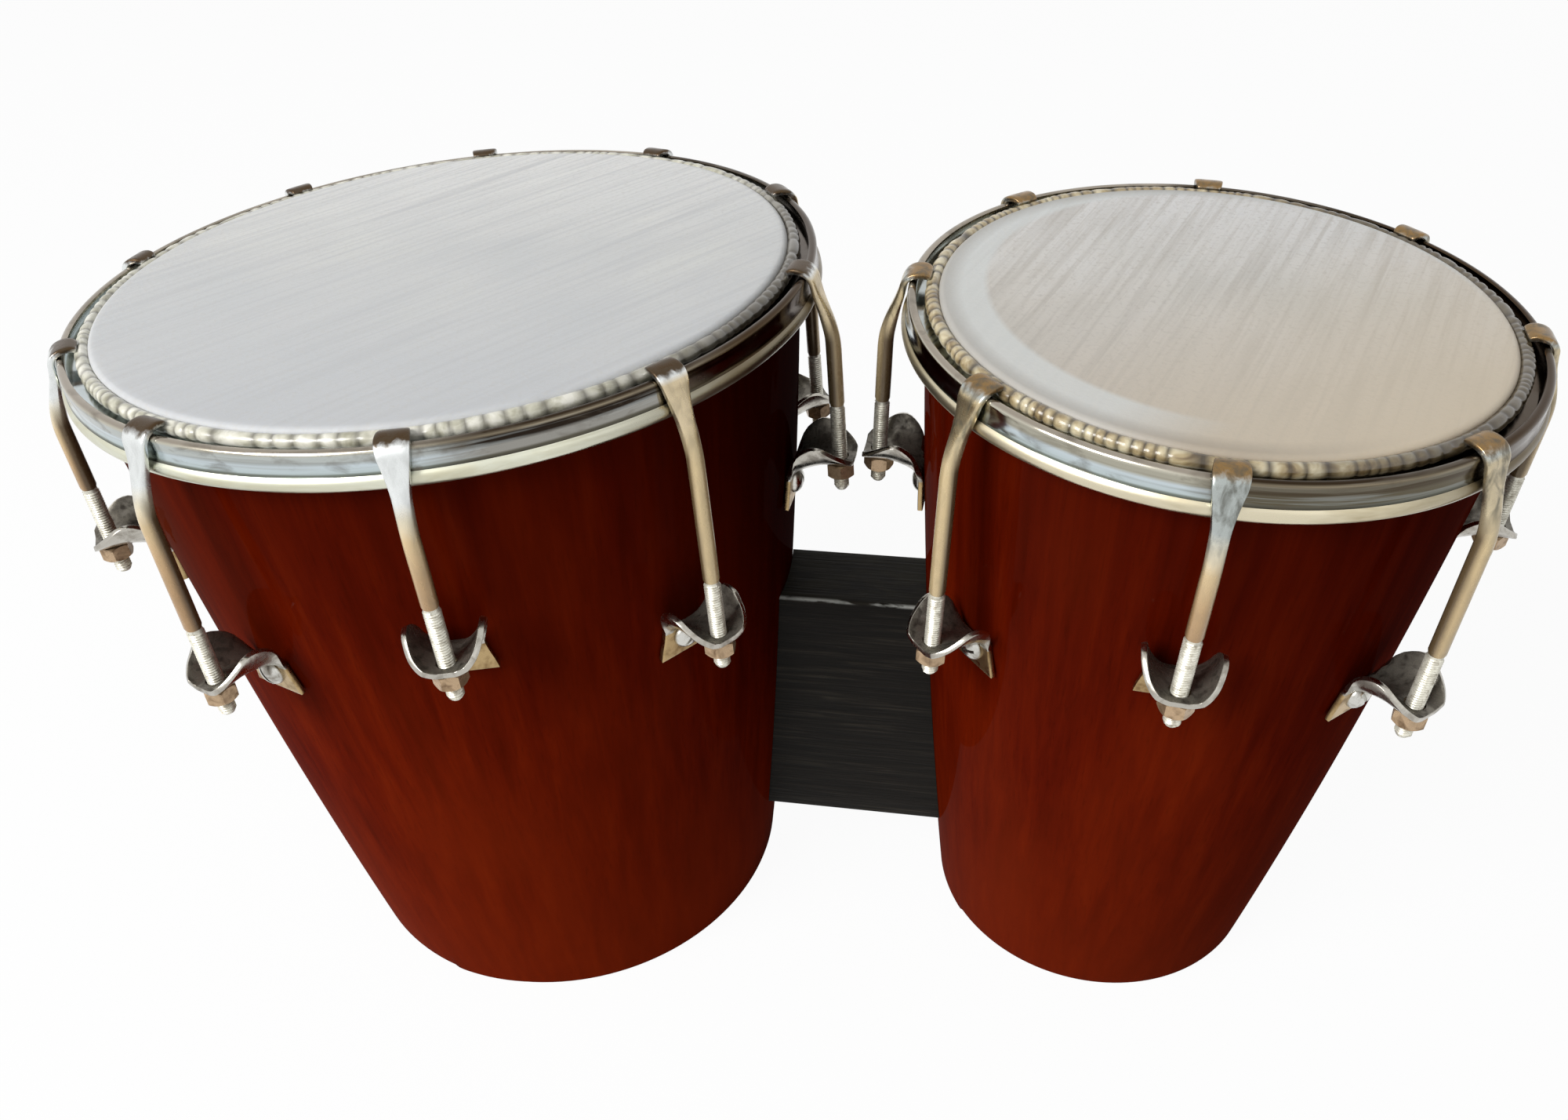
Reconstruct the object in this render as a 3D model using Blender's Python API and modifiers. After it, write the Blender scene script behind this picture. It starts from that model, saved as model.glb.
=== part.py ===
"""A pair of hand drums on a centre block, tuned by hooked rods and nuts.

The larger drum stands at -X and the smaller at +X. Both lean outwards a little and are set slightly
askew, and both shells are cut level at the floor. The origin is on the floor, in the middle of the
pair's width. Each drum is built in its own frame: the origin is the centre of its head, +Z points up
along its axis, and depths below the head are measured along -Z.
"""

import math

import bmesh
import bpy
from mathutils import Matrix, Vector

# The pair, in metres and radians.
DRUM_HEIGHT = 0.235
LARGE_RADIUS = 0.1016
SMALL_RADIUS = 0.0748
HEAD_GAP = 0.0342
AXIS_SPACING = LARGE_RADIUS + SMALL_RADIUS + HEAD_GAP
SPLAY = math.radians(2.52)
SKEW = math.radians(1.57)
LARGE_FOOT_RADIUS = 0.0784
SMALL_FOOT_RADIUS = 0.0561
LARGE_HOOKS = 10
SMALL_HOOKS = 8
HOOK_PHASE = math.radians(-3.0)
LARGE_FACETS_PER_HOOK = 3
SMALL_FACETS_PER_HOOK = 4

# Clearances: where pieces seat, round a rod that runs through a hole, and how deep joined pieces bed.
SEAT = 0.0003
RUNNING = 0.0005
BEDDING = 0.0002

# Wooden shell.
WALL = 0.009
BELLY = 0.0021
SHOULDER_FLARE = 0.0026
SHOULDER_DEPTH = 0.0150
NECK_INSET = 0.0021
NECK_DEPTH = 0.0128
EDGE_INSET = 0.0040
EDGE_ROUND = 0.0015
FOOT_SPARE = 0.010

# Skin, the hoop that it is wrapped round, and its gathered upper edge.
SKIN = 0.0008
HOOP_WIRE_RADIUS = 0.0021
HOOP_DEPTH = 0.0093
GATHER_RADIUS = 0.0022
GATHER_DEPTH = 0.0024
SKIN_TUCK = 0.0008

# Tension rim: an outer band, a flange that presses on the wrapped hoop, and a rolled lower bead.
RIM_SHEET = 0.0013
RIM_REACH = 0.0083
RIM_TOP_DEPTH = 0.0016
RIM_LIP = 0.0024
RIM_LIP_WIDTH = 0.0024
RIM_ROUND = 0.0014
FLANGE_THICKNESS = 0.0009
BEAD_RADIUS = 0.0025
BEAD_DEPTH = 0.0102

# Hooked rods. Every second one is longer, so the lugs stand in two rows.
ROD_REACH = 0.0142
ROD_RADIUS = 0.0023
CLAW_WIDTH = 0.0105
CLAW_THICKNESS = 0.0018
CLAW_CHAMFER = 0.0004
CLAW_TIP = 0.0012
CLAW_TIP_LENGTH = 0.0026
CLAW_BEND = 0.0022
CLAW_CREST = 0.0003
CLAW_TAPER = 0.0010
CLAW_FLARE = 0.0008
CLAW_SHOULDER_DROP = 0.0042
CLAW_NECK_DEPTH = 0.0172
CLAW_NECK_WIDTH = 0.0054
CLAW_NECK_THICKNESS = 0.0034
ROD_START_DEPTH = 0.024
SHORT_LUG_DEPTH = 0.0605
LONG_LUG_DEPTH = 0.0780
ROD_PAST_LUG = 0.0115
# A few lugs were set off their row by hand: how much deeper, by place round the drum.
LARGE_LUG_SHIFTS = {7: -0.0040}
SMALL_LUG_SHIFTS = {5: 0.0018, 7: -0.0015}

# Lugs: sheet steel, a leg bolted to the shell and an arm folded into a trough.
LUG_SHEET = 0.0016
LUG_PAST_ROD = 0.0046
TROUGH_HALF_WIDTH = 0.0098
TROUGH_ROUND = 0.0102
TROUGH_FLAT = 0.0024
TROUGH_SHARES = (-1.0, -0.70, -0.25, 0.25, 0.70, 1.0)
TROUGH_START = 0.0042
# Rows of the trough from the leg out to its start: share of the way, dip, narrowing and fold.
TROUGH_BACK_ROWS = ((0.26, 0.0030, 0.0004, 1.35), (0.62, 0.0011, 0.0, 1.22))
# Rows from the start outwards: reach from the rod, narrowing and fold.
TROUGH_FRONT_ROWS = ((-TROUGH_START, 0.0, 1.12), (0.0015, 0.0014, 1.0), (LUG_PAST_ROD, 0.0040, 1.0))
LEG_LENGTH = 0.0155
LEG_TOP_HALF_WIDTH = 0.0068
LEG_FOOT_HALF_WIDTH = 0.0090
LEG_START = 0.0055
LUG_BOLT_DROP = 0.0092
LUG_BOLT_RADIUS = 0.0022
LUG_BOLT_HEAD_RADIUS = 0.0042
LUG_BOLT_HEAD_HEIGHT = 0.0027
LUG_BOLT_CROWN = 0.72
LUG_NUT_HEIGHT = 0.0036
LUG_NUT_RADIUS = 0.0046
LUG_BORE_REACH = 0.006

# Tuning nuts, measured across the corners and along the rod.
NUT_RADIUS = 0.0046
NUT_HEIGHT = 0.0045

# Centre block and the two tie bolts that hold both shells to it.
BLOCK_DEPTH = 0.027
BLOCK_TOP = 0.1295
BLOCK_FOOT = 0.0315
BLOCK_BEVEL = 0.0008
TIE_RADIUS = 0.003
TIE_INSET = 0.022
WASHER_RADIUS = 0.009
WASHER_THICKNESS = 0.0016
TIE_HEAD_RADIUS = 0.0056
TIE_HEAD_HEIGHT = 0.0040
TIE_NUT_HEIGHT = 0.0050
TIE_SPARE = 0.0040
SPOT_FACE_DEPTH = 0.0012
BORE_SPARE = 0.010

FRAME_SHIFT = (LARGE_RADIUS - SMALL_RADIUS) / 2.0
MID_HEIGHT = DRUM_HEIGHT / 2.0 * math.cos(SPLAY) * math.cos(SKEW)

COLORS = {
    "mahogany": ((0.105, 0.010, 0.004, 1.0), 0.0, 0.12),
    "skin": ((0.62, 0.61, 0.58, 1.0), 0.0, 0.55),
    "hoop_steel": ((0.45, 0.45, 0.46, 1.0), 1.0, 0.40),
    "rim_plate": ((0.62, 0.64, 0.64, 1.0), 1.0, 0.16),
    "lug_plate": ((0.60, 0.56, 0.48, 1.0), 1.0, 0.20),
    "nut_plate": ((0.58, 0.57, 0.55, 1.0), 1.0, 0.26),
    "bolt_plate": ((0.55, 0.54, 0.52, 1.0), 1.0, 0.32),
    "black_paint": ((0.012, 0.013, 0.012, 1.0), 0.0, 0.35),
}


class Drum:
    """The sizes and frame of one drum; side is -1 for the larger and +1 for the smaller."""

    def __init__(self, name, side, radius, foot_radius, hooks, facets_per_hook, lug_shifts):
        self.name = name
        self.side = side
        self.radius = radius
        self.foot_radius = foot_radius
        self.hooks = hooks
        self.facets = hooks * facets_per_hook
        self.lug_shifts = lug_shifts
        # A hook stands over the middle of a facet, which lies this much nearer than its corners.
        self.flat = math.cos(math.pi / self.facets)
        self.spin = HOOK_PHASE - math.pi / self.facets
        tilt = Matrix.Rotation(side * SPLAY, 4, "Y") @ Matrix.Rotation(side * SKEW, 4, "X")
        middle = Vector((side * AXIS_SPACING / 2.0 + FRAME_SHIFT, 0.0, MID_HEIGHT))
        lift = Matrix.Translation((0.0, 0.0, DRUM_HEIGHT / 2.0))
        self.frame = Matrix.Translation(middle) @ tilt @ lift

    def body_radius(self, depth):
        """Outer radius of the shell's body at its corners, which bellies out between its ends."""
        share = (DRUM_HEIGHT - depth) / (DRUM_HEIGHT - SHOULDER_DEPTH)
        straight = self.foot_radius + (self.radius + SHOULDER_FLARE - self.foot_radius) * share
        return straight + 4.0 * BELLY * share * (1.0 - share)

    def body_depths(self):
        """Depths of the rows between the shoulder and the floor, and one row below the floor."""
        rows = 3
        run = DRUM_HEIGHT - SHOULDER_DEPTH
        depths = [SHOULDER_DEPTH + run * row / rows for row in range(rows)]
        return depths + [DRUM_HEIGHT + FOOT_SPARE]

    def wall_radius(self, depth):
        """Outer radius on the straight stretch of profile between two rows, at the corners."""
        depths = self.body_depths()
        for upper, lower in zip(depths, depths[1:]):
            if depth <= lower:
                share = (depth - upper) / (lower - upper)
                return self.body_radius(upper) * (1.0 - share) + self.body_radius(lower) * share
        return self.body_radius(depths[-1])

    def wall_lean(self, depth):
        """How fast the outer wall draws in with depth, as an angle, on a facet's middle."""
        step = 0.001
        run = (self.wall_radius(depth + step) - self.wall_radius(depth)) * self.flat
        return math.atan2(-run, step)

    def station(self, index):
        """Frame of one hook: origin on the rod's axis at head level, +X outwards, +Z up."""
        angle = HOOK_PHASE + 2.0 * math.pi * index / self.hooks
        turn = Matrix.Rotation(angle, 4, "Z")
        return turn @ Matrix.Translation((self.radius + ROD_REACH, 0.0, 0.0))

    def lug_depth(self, index):
        row = LONG_LUG_DEPTH if index % 2 else SHORT_LUG_DEPTH
        return row + self.lug_shifts.get(index, 0.0)


DRUMS = (
    Drum(
        "large",
        -1,
        LARGE_RADIUS,
        LARGE_FOOT_RADIUS,
        LARGE_HOOKS,
        LARGE_FACETS_PER_HOOK,
        LARGE_LUG_SHIFTS,
    ),
    Drum(
        "small",
        1,
        SMALL_RADIUS,
        SMALL_FOOT_RADIUS,
        SMALL_HOOKS,
        SMALL_FACETS_PER_HOOK,
        SMALL_LUG_SHIFTS,
    ),
)


def clear_scene():
    for obj in list(bpy.data.objects):
        bpy.data.objects.remove(obj, do_unlink=True)


def make_material(name):
    color, metallic, roughness = COLORS[name]
    material = bpy.data.materials.new(name)
    material.use_nodes = True
    shader = material.node_tree.nodes["Principled BSDF"]
    shader.inputs["Base Color"].default_value = color
    shader.inputs["Metallic"].default_value = metallic
    shader.inputs["Roughness"].default_value = roughness
    return material


def place(name, mesh, parent, local, material=None):
    """Put a mesh in the scene under a parent empty; without a material it is a cutter."""
    obj = bpy.data.objects.new(name, mesh)
    home = PARTS if material else CUTTERS
    home.objects.link(obj)
    obj.parent = parent
    obj.matrix_local = local
    if material:
        if not mesh.materials:
            mesh.materials.append(MATERIALS[material])
    else:
        obj.hide_render = True
        obj.display_type = "WIRE"
    return obj


def shade(mesh, angle=35.0):
    mesh.shade_smooth()
    mesh.set_sharp_from_angle(angle=math.radians(angle))


def profile_mesh(name, points, closed):
    """A profile of (radius, depth) pairs in the XZ plane, joined by edges."""
    mesh = bpy.data.meshes.new(name)
    vertices = [(radius, 0.0, -depth) for radius, depth in points]
    edges = [(i, i + 1) for i in range(len(points) - 1)]
    if closed:
        edges.append((len(points) - 1, 0))
    mesh.from_pydata(vertices, edges, [])
    return mesh


def turned(name, points, steps, parent, local, material=None, closed=True):
    """Turn a profile about Z: closed for a ring, open where it starts and ends on the axis."""
    obj = place(name, profile_mesh(name, points, closed), parent, local, material)
    screw = obj.modifiers.new("Turn", "SCREW")
    screw.axis = "Z"
    screw.angle = 2.0 * math.pi
    screw.steps = steps
    screw.render_steps = steps
    screw.use_merge_vertices = True
    screw.merge_threshold = 0.00001
    screw.use_smooth_shade = True
    return obj


def baked(obj):
    """The evaluated mesh of an object, which is then removed with its modifiers."""
    bpy.context.view_layer.update()
    graph = bpy.context.evaluated_depsgraph_get()
    mesh = bpy.data.meshes.new_from_object(obj.evaluated_get(graph), depsgraph=graph)
    bpy.data.objects.remove(obj, do_unlink=True)
    return mesh


def cut(obj, cutter, operation="DIFFERENCE"):
    boolean = obj.modifiers.new(cutter.name, "BOOLEAN")
    boolean.operation = operation
    boolean.solver = "EXACT"
    boolean.object = cutter


def add_cylinder(mesh, radius, start, end, frame, sides):
    """Add a closed cylinder from start to end along the frame's X axis."""
    along = Matrix.Translation(((start + end) / 2.0, 0.0, 0.0)) @ Matrix.Rotation(math.pi / 2.0, 4, "Y")
    bmesh.ops.create_cone(
        mesh,
        cap_ends=True,
        segments=sides,
        radius1=radius,
        radius2=radius,
        depth=abs(end - start),
        matrix=frame @ along,
    )


def cutter_from(name, build, parent=None, local=Matrix.Identity(4)):
    """A cutter whose solids are added by the given function."""
    work = bmesh.new()
    build(work)
    mesh = bpy.data.meshes.new(name)
    work.to_mesh(mesh)
    work.free()
    return place(name, mesh, parent, local)


def joined(name, pieces):
    """One mesh of several (mesh, matrix) copies, which stay separate solids."""
    work = bmesh.new()
    for mesh, matrix in pieces:
        copy = mesh.copy()
        copy.transform(matrix)
        work.from_mesh(copy)
        bpy.data.meshes.remove(copy)
    result = bpy.data.meshes.new(name)
    work.to_mesh(result)
    work.free()
    shade(result)
    return result


def shell_profile(drum):
    """Outer side from the bearing edge down to the spare foot, then up the inner side."""
    radius = drum.radius
    edge_depth = SKIN + SEAT
    neck = radius - NECK_INSET
    outer = [
        (radius - EDGE_INSET, edge_depth),
        (neck, edge_depth + EDGE_ROUND),
        (neck, NECK_DEPTH),
    ]
    outer += [(drum.body_radius(depth), depth) for depth in drum.body_depths()]
    inner = [(drum.body_radius(depth) - WALL, depth) for depth in reversed(drum.body_depths()[1:])]
    bore = radius + SHOULDER_FLARE - WALL
    inner += [(bore, SHOULDER_DEPTH), (bore, edge_depth + 2.0 * EDGE_ROUND)]
    return outer + inner


def gather_center(drum):
    flap = drum.radius + 2.0 * SEAT + 2.0 * SKIN - NECK_INSET
    return flap - SKIN + GATHER_RADIUS


def hoop_center(drum):
    """Radius at which the hoop's wire runs, outside the skin that hangs beside the neck."""
    return drum.radius - NECK_INSET + SEAT + SKIN + SEAT + HOOP_WIRE_RADIUS


def across_flats(radius):
    """Corner radius of a hexagon whose flats lie at the given radius."""
    return radius / math.cos(math.pi / 6.0)


def arc(center, depth, radius, angles):
    """Points on a circle in the profile; 0 degrees is outwards and 90 degrees is up."""
    points = []
    for angle in angles:
        turn = math.radians(angle)
        points.append((center + radius * math.cos(turn), depth - radius * math.sin(turn)))
    return points


def skin_profile(drum):
    """One folded strip: head, collar, wrap round the hoop, and a flap with a gathered edge."""
    radius = drum.radius
    inside = radius - NECK_INSET + SEAT
    collar = inside + SKIN
    flap = collar + SEAT
    hoop = hoop_center(drum)
    bore = HOOP_WIRE_RADIUS + SEAT
    wrap = bore + SKIN
    gather = gather_center(drum)
    head = [(0.0, 0.0), (radius - EDGE_INSET, 0.0), (collar, EDGE_ROUND + SEAT)]
    around = arc(hoop, HOOP_DEPTH, bore, (180, 240, 300, 0, 60))
    flap_inner = [(flap, HOOP_DEPTH - bore - SEAT)]
    edge = arc(gather, GATHER_DEPTH, GATHER_RADIUS, (180, 115, 50, -15))
    flap_outer = [(flap + SKIN, GATHER_DEPTH + GATHER_RADIUS), (flap + SKIN, HOOP_DEPTH - wrap)]
    outside = arc(hoop, HOOP_DEPTH, wrap, (60, 0, -60, -120))
    under = [
        (inside, HOOP_DEPTH + SKIN_TUCK),
        (inside, SKIN + EDGE_ROUND),
        (radius - EDGE_INSET, SKIN),
        (0.0, SKIN),
    ]
    return head + around + flap_inner + edge + flap_outer + outside + under


def rim_profile(drum):
    """Rolled lip at the top, band, round lower bead, and the flange over the wrapped hoop."""
    band = drum.radius + RIM_REACH
    bore = band - RIM_SHEET
    lip = band - RIM_LIP_WIDTH
    crown = band - 0.6 * RIM_ROUND
    wrap_top = HOOP_DEPTH - HOOP_WIRE_RADIUS - SEAT - SKIN
    flange_under = wrap_top - SEAT
    flange_top = flange_under - FLANGE_THICKNESS
    flange_bore = drum.radius - NECK_INSET + 3.0 * SEAT + 2.0 * SKIN
    return (
        [(lip, RIM_TOP_DEPTH), (crown, RIM_TOP_DEPTH + 0.2 * RIM_ROUND)]
        + [(band, RIM_TOP_DEPTH + RIM_ROUND), (band, BEAD_DEPTH - BEAD_RADIUS)]
        + arc(bore, BEAD_DEPTH, BEAD_RADIUS, (20, -35, -90, -140))
        + [(bore, BEAD_DEPTH - BEAD_RADIUS + RIM_SHEET), (bore, flange_under)]
        + [(flange_bore, flange_under), (flange_bore, flange_top), (bore, flange_top)]
        + [(bore, RIM_TOP_DEPTH + RIM_LIP), (lip, RIM_TOP_DEPTH + RIM_SHEET)]
    )


def hook_section(center, across, width, height, chamfer):
    """Eight corners of a flat bar with chamfered edges; across points to the bar's outer face."""
    half = width / 2.0
    rise = height / 2.0
    corners = [
        (half, rise - chamfer),
        (half - chamfer, rise),
        (-half + chamfer, rise),
        (-half, rise - chamfer),
        (-half, -rise + chamfer),
        (-half + chamfer, -rise),
        (half - chamfer, -rise),
        (half, -rise + chamfer),
    ]
    return [center + Vector((0.0, side, 0.0)) + across * lift for side, lift in corners]


def loft(name, rings):
    """Skin a row of equal rings, and cap both ends."""
    work = bmesh.new()
    rows = [[work.verts.new(corner) for corner in ring] for ring in rings]
    count = len(rings[0])
    for upper, lower in zip(rows, rows[1:]):
        for i in range(count):
            work.faces.new((upper[i], upper[(i + 1) % count], lower[(i + 1) % count], lower[i]))
    work.faces.new(list(reversed(rows[0])))
    work.faces.new(rows[-1])
    bmesh.ops.recalc_face_normals(work, faces=work.faces)
    mesh = bpy.data.meshes.new(name)
    work.to_mesh(mesh)
    work.free()
    shade(mesh, 50.0)
    return mesh


def hook_mesh(lug_depth):
    """A claw over the rim that flares outwards and draws down from a flat bar to a round rod."""
    flat_side = 2.0 * ROD_RADIUS * math.cos(math.pi / 8.0)
    corner = ROD_RADIUS * (math.cos(math.pi / 8.0) - math.sin(math.pi / 8.0))
    half = CLAW_THICKNESS / 2.0
    wide = CLAW_WIDTH
    over_gather = GATHER_DEPTH - GATHER_RADIUS - SEAT - half
    over_rim = RIM_TOP_DEPTH + BEDDING - half - CLAW_CREST
    outside = RIM_REACH + SEAT + half
    past_bead = RIM_REACH - RIM_SHEET + BEAD_RADIUS + SEAT + half
    # Reach beyond the head's radius, depth, width, thickness and edge chamfer.
    rows = [
        (CLAW_TIP, over_gather, wide, CLAW_THICKNESS, CLAW_CHAMFER),
        (CLAW_TIP + CLAW_TIP_LENGTH, over_gather, wide, CLAW_THICKNESS, CLAW_CHAMFER),
        (RIM_REACH - CLAW_BEND, over_rim, wide, CLAW_THICKNESS, CLAW_CHAMFER),
        (outside, RIM_TOP_DEPTH + CLAW_TAPER, wide - CLAW_TAPER, CLAW_THICKNESS, CLAW_CHAMFER),
        (
            outside + CLAW_FLARE,
            RIM_TOP_DEPTH + CLAW_SHOULDER_DROP,
            wide - 2.4 * CLAW_TAPER,
            CLAW_THICKNESS,
            CLAW_CHAMFER,
        ),
        (past_bead + CLAW_FLARE, BEAD_DEPTH, wide - 3.4 * CLAW_TAPER, CLAW_THICKNESS, CLAW_CHAMFER),
        (
            ROD_REACH - CLAW_FLARE,
            CLAW_NECK_DEPTH,
            CLAW_NECK_WIDTH,
            CLAW_NECK_THICKNESS,
            2.5 * CLAW_CHAMFER,
        ),
        (ROD_REACH, ROD_START_DEPTH, flat_side, flat_side, corner),
        (ROD_REACH, lug_depth + ROD_PAST_LUG, flat_side, flat_side, corner),
    ]
    centers = [Vector((reach - ROD_REACH, 0.0, -depth)) for reach, depth, _, _, _ in rows]
    rings = []
    for index, (_, _, width, height, chamfer) in enumerate(rows):
        before = centers[max(index - 1, 0)]
        after = centers[min(index + 1, len(centers) - 1)]
        along = (after - before).normalized()
        across = Vector((0.0, 1.0, 0.0)).cross(along) * -1.0
        rings.append(hook_section(centers[index], across, width, height, chamfer))
    return loft("hook", rings)


def lug_rows(drum, lug_depth):
    """Centre line of the sheet from the leg's foot to the trough's outer end.

    Each row is (reach from the rod, height above the trough's floor, half width, fold).
    """
    def leg(height):
        depth = lug_depth - height
        lean = drum.wall_lean(depth)
        wall = drum.wall_radius(depth) * drum.flat - drum.radius - ROD_REACH
        return wall + (SEAT + LUG_SHEET / 2.0) / math.cos(lean)

    floor = -LUG_SHEET / 2.0
    root = leg(-LEG_START)
    run = -TROUGH_START - root
    rows = [
        (leg(-LEG_LENGTH), -LEG_LENGTH, LEG_FOOT_HALF_WIDTH, 0.0),
        (root, -LEG_START, LEG_TOP_HALF_WIDTH, 0.0),
    ]
    for share, dip, narrowing, fold in TROUGH_BACK_ROWS:
        rows.append((root + run * share, floor - dip, TROUGH_HALF_WIDTH - narrowing, fold))
    for reach, narrowing, fold in TROUGH_FRONT_ROWS:
        rows.append((reach, floor, TROUGH_HALF_WIDTH - narrowing, fold))
    return rows


def trough_rise(side):
    """Height of the trough's round section above its flat floor."""
    past = max(abs(side), TROUGH_FLAT)
    return math.sqrt(TROUGH_ROUND**2 - TROUGH_FLAT**2) - math.sqrt(TROUGH_ROUND**2 - past**2)


def lug_mesh(drum, lug_depth):
    """Fold a flat sheet along its length into leg and trough, then pierce it for rod and bolt."""
    rows = lug_rows(drum, lug_depth)
    work = bmesh.new()
    grid = []
    for reach, height, half_width, fold in rows:
        line = []
        for share in TROUGH_SHARES:
            side = share * half_width
            line.append(work.verts.new((reach, side, height + fold * trough_rise(side))))
        grid.append(line)
    for lower, upper in zip(grid, grid[1:]):
        for i in range(len(TROUGH_SHARES) - 1):
            work.faces.new((lower[i], lower[i + 1], upper[i + 1], upper[i]))
    mesh = bpy.data.meshes.new("lug")
    work.to_mesh(mesh)
    work.free()
    sheet = place("lug_blank", mesh, None, Matrix.Identity(4), "lug_plate")
    solid = sheet.modifiers.new("Sheet", "SOLIDIFY")
    solid.thickness = LUG_SHEET
    solid.offset = 0.0
    solid.use_even_offset = True
    return fitted_lug(sheet, lug_bolt_frame(drum, lug_depth), WALL * drum.flat)


def fitted_lug(sheet, seat, wall):
    """Pierce the lug for its rod, and join it to the bolt and the inner nut that clamp the shell."""
    def rod_bore(work):
        down = Matrix.Rotation(math.pi / 2.0, 4, "Y")
        add_cylinder(work, across_flats(ROD_RADIUS + RUNNING), -LUG_BORE_REACH, LUG_BORE_REACH, down, 6)

    def inner_nut(work):
        top = -wall - SEAT
        add_cylinder(work, LUG_NUT_RADIUS, top - LUG_NUT_HEIGHT, top, seat, 6)

    head_seat = SEAT + LUG_SHEET - BEDDING
    length = head_seat + wall + SEAT + LUG_NUT_HEIGHT - BEDDING
    bolt = bolt_mesh(LUG_BOLT_RADIUS, LUG_BOLT_HEAD_RADIUS, LUG_BOLT_HEAD_HEIGHT, length, 8, True)
    bolt.transform(seat @ Matrix.Translation((head_seat, 0.0, 0.0)))
    tools = [
        cutter_from("rod_bore", rod_bore),
        place("lug_bolt", bolt, None, Matrix.Identity(4)),
        cutter_from("lug_nut", inner_nut),
    ]
    for tool, operation in zip(tools, ("DIFFERENCE", "UNION", "UNION")):
        cut(sheet, tool, operation)
    result = baked(sheet)
    for tool in tools:
        bpy.data.objects.remove(tool, do_unlink=True)
    shade(result)
    return result


def lug_bolt_frame(drum, lug_depth):
    """Frame on the shell's outer wall, relative to the rod at the trough's floor; +X is outwards."""
    depth = lug_depth + LUG_BOLT_DROP
    wall = drum.wall_radius(depth) * drum.flat - drum.radius - ROD_REACH
    lean = drum.wall_lean(depth)
    return Matrix.Translation((wall, 0.0, -LUG_BOLT_DROP)) @ Matrix.Rotation(lean, 4, "Y")


def turned_mesh(name, points, steps, closed):
    """A turned piece baked to a mesh and laid along X; depth 0 is at the origin, deeper is -X."""
    mesh = baked(turned(name, points, steps, None, Matrix.Identity(4), None, closed))
    mesh.transform(Matrix.Rotation(math.pi / 2.0, 4, "Y"))
    shade(mesh)
    return mesh


def bolt_mesh(shank, head_radius, head_height, length, steps, domed):
    """A bolt along X: its head outwards of the seat at 0, its shank inwards."""
    crown = [(head_radius, -head_height)]
    if domed:
        crown = [(head_radius * LUG_BOLT_CROWN, -head_height * LUG_BOLT_CROWN)]
    points = [(0.0, -head_height)] + crown
    points += [(head_radius, 0.0), (shank, 0.0), (shank, length), (0.0, length)]
    return turned_mesh("bolt", points, steps, False)


def nut_mesh(bore, radius, height):
    """A hexagon nut along X from 0 inwards, with a hexagon bore that clears the thread."""
    clear = across_flats(bore)
    points = [(radius, 0.0), (radius, height), (clear, height), (clear, 0.0)]
    return turned_mesh("nut", points, 6, True)


def build_drum(drum):
    """All the pieces that ride on one drum's frame."""
    name = drum.name
    root = bpy.data.objects.new(name + "_drum", None)
    PARTS.objects.link(root)
    root.matrix_world = drum.frame
    spin = Matrix.Rotation(drum.spin, 4, "Z")

    shell = turned(name + "_shell", shell_profile(drum), drum.facets, root, spin, "mahogany")
    wire = arc(hoop_center(drum), HOOP_DEPTH, HOOP_WIRE_RADIUS, (120, 60, 0, -60, -120, 180))
    turned(name + "_head", skin_profile(drum), drum.facets, root, spin, "skin", closed=False)
    turned(name + "_flesh_hoop", wire, drum.facets, root, spin, "hoop_steel")
    rim = turned(name + "_rim_and_hooks", rim_profile(drum), drum.facets, root, spin, "rim_plate")

    lug_depths = {drum.lug_depth(index) for index in range(drum.hooks)}
    hooks = {depth: hook_mesh(depth) for depth in lug_depths}
    lugs = {depth: lug_mesh(drum, depth) for depth in lug_depths}
    nut = nut_mesh(ROD_RADIUS + SEAT, NUT_RADIUS, NUT_HEIGHT)
    nut.transform(Matrix.Rotation(-math.pi / 2.0, 4, "Y"))
    hook_copies = []
    for index in range(drum.hooks):
        depth = drum.lug_depth(index)
        station = drum.station(index)
        hook_copies.append((hooks[depth], station))
        level = station @ Matrix.Translation((0.0, 0.0, -depth))
        place("%s_lug_%02d" % (name, index + 1), lugs[depth], root, level, "lug_plate")
        seat = level @ Matrix.Translation((0.0, 0.0, -LUG_SHEET - SEAT))
        place("%s_tuning_nut_%02d" % (name, index + 1), nut, root, seat, "nut_plate")
    claws = place(name + "_hooks", joined(name + "_hooks", hook_copies), root, Matrix.Identity(4))
    cut(rim, claws, "UNION")

    def bores(work):
        for index in range(drum.hooks):
            depth = drum.lug_depth(index)
            level = drum.station(index) @ Matrix.Translation((0.0, 0.0, -depth))
            frame = level @ lug_bolt_frame(drum, depth)
            add_cylinder(work, across_flats(LUG_BOLT_RADIUS + RUNNING), -2.0 * WALL, WALL, frame, 6)

    cut(shell, cutter_from(name + "_lug_bores", bores, root))
    cut(shell, FLOOR)
    return root, shell


def body_cutter(drum, root):
    """The shell's outer form as a full solid, one seat clearance larger, to fit the block to it."""
    grow = SEAT / drum.flat
    depths = drum.body_depths()
    points = [(0.0, SHOULDER_DEPTH)]
    points += [(drum.body_radius(depth) + grow, depth) for depth in depths]
    points += [(0.0, depths[-1])]
    spin = Matrix.Rotation(drum.spin, 4, "Z")
    return turned(drum.name + "_shell_form", points, drum.facets, root, spin, None, closed=False)


def tie_heights():
    return (BLOCK_FOOT + TIE_INSET, BLOCK_TOP - TIE_INSET)


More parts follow.
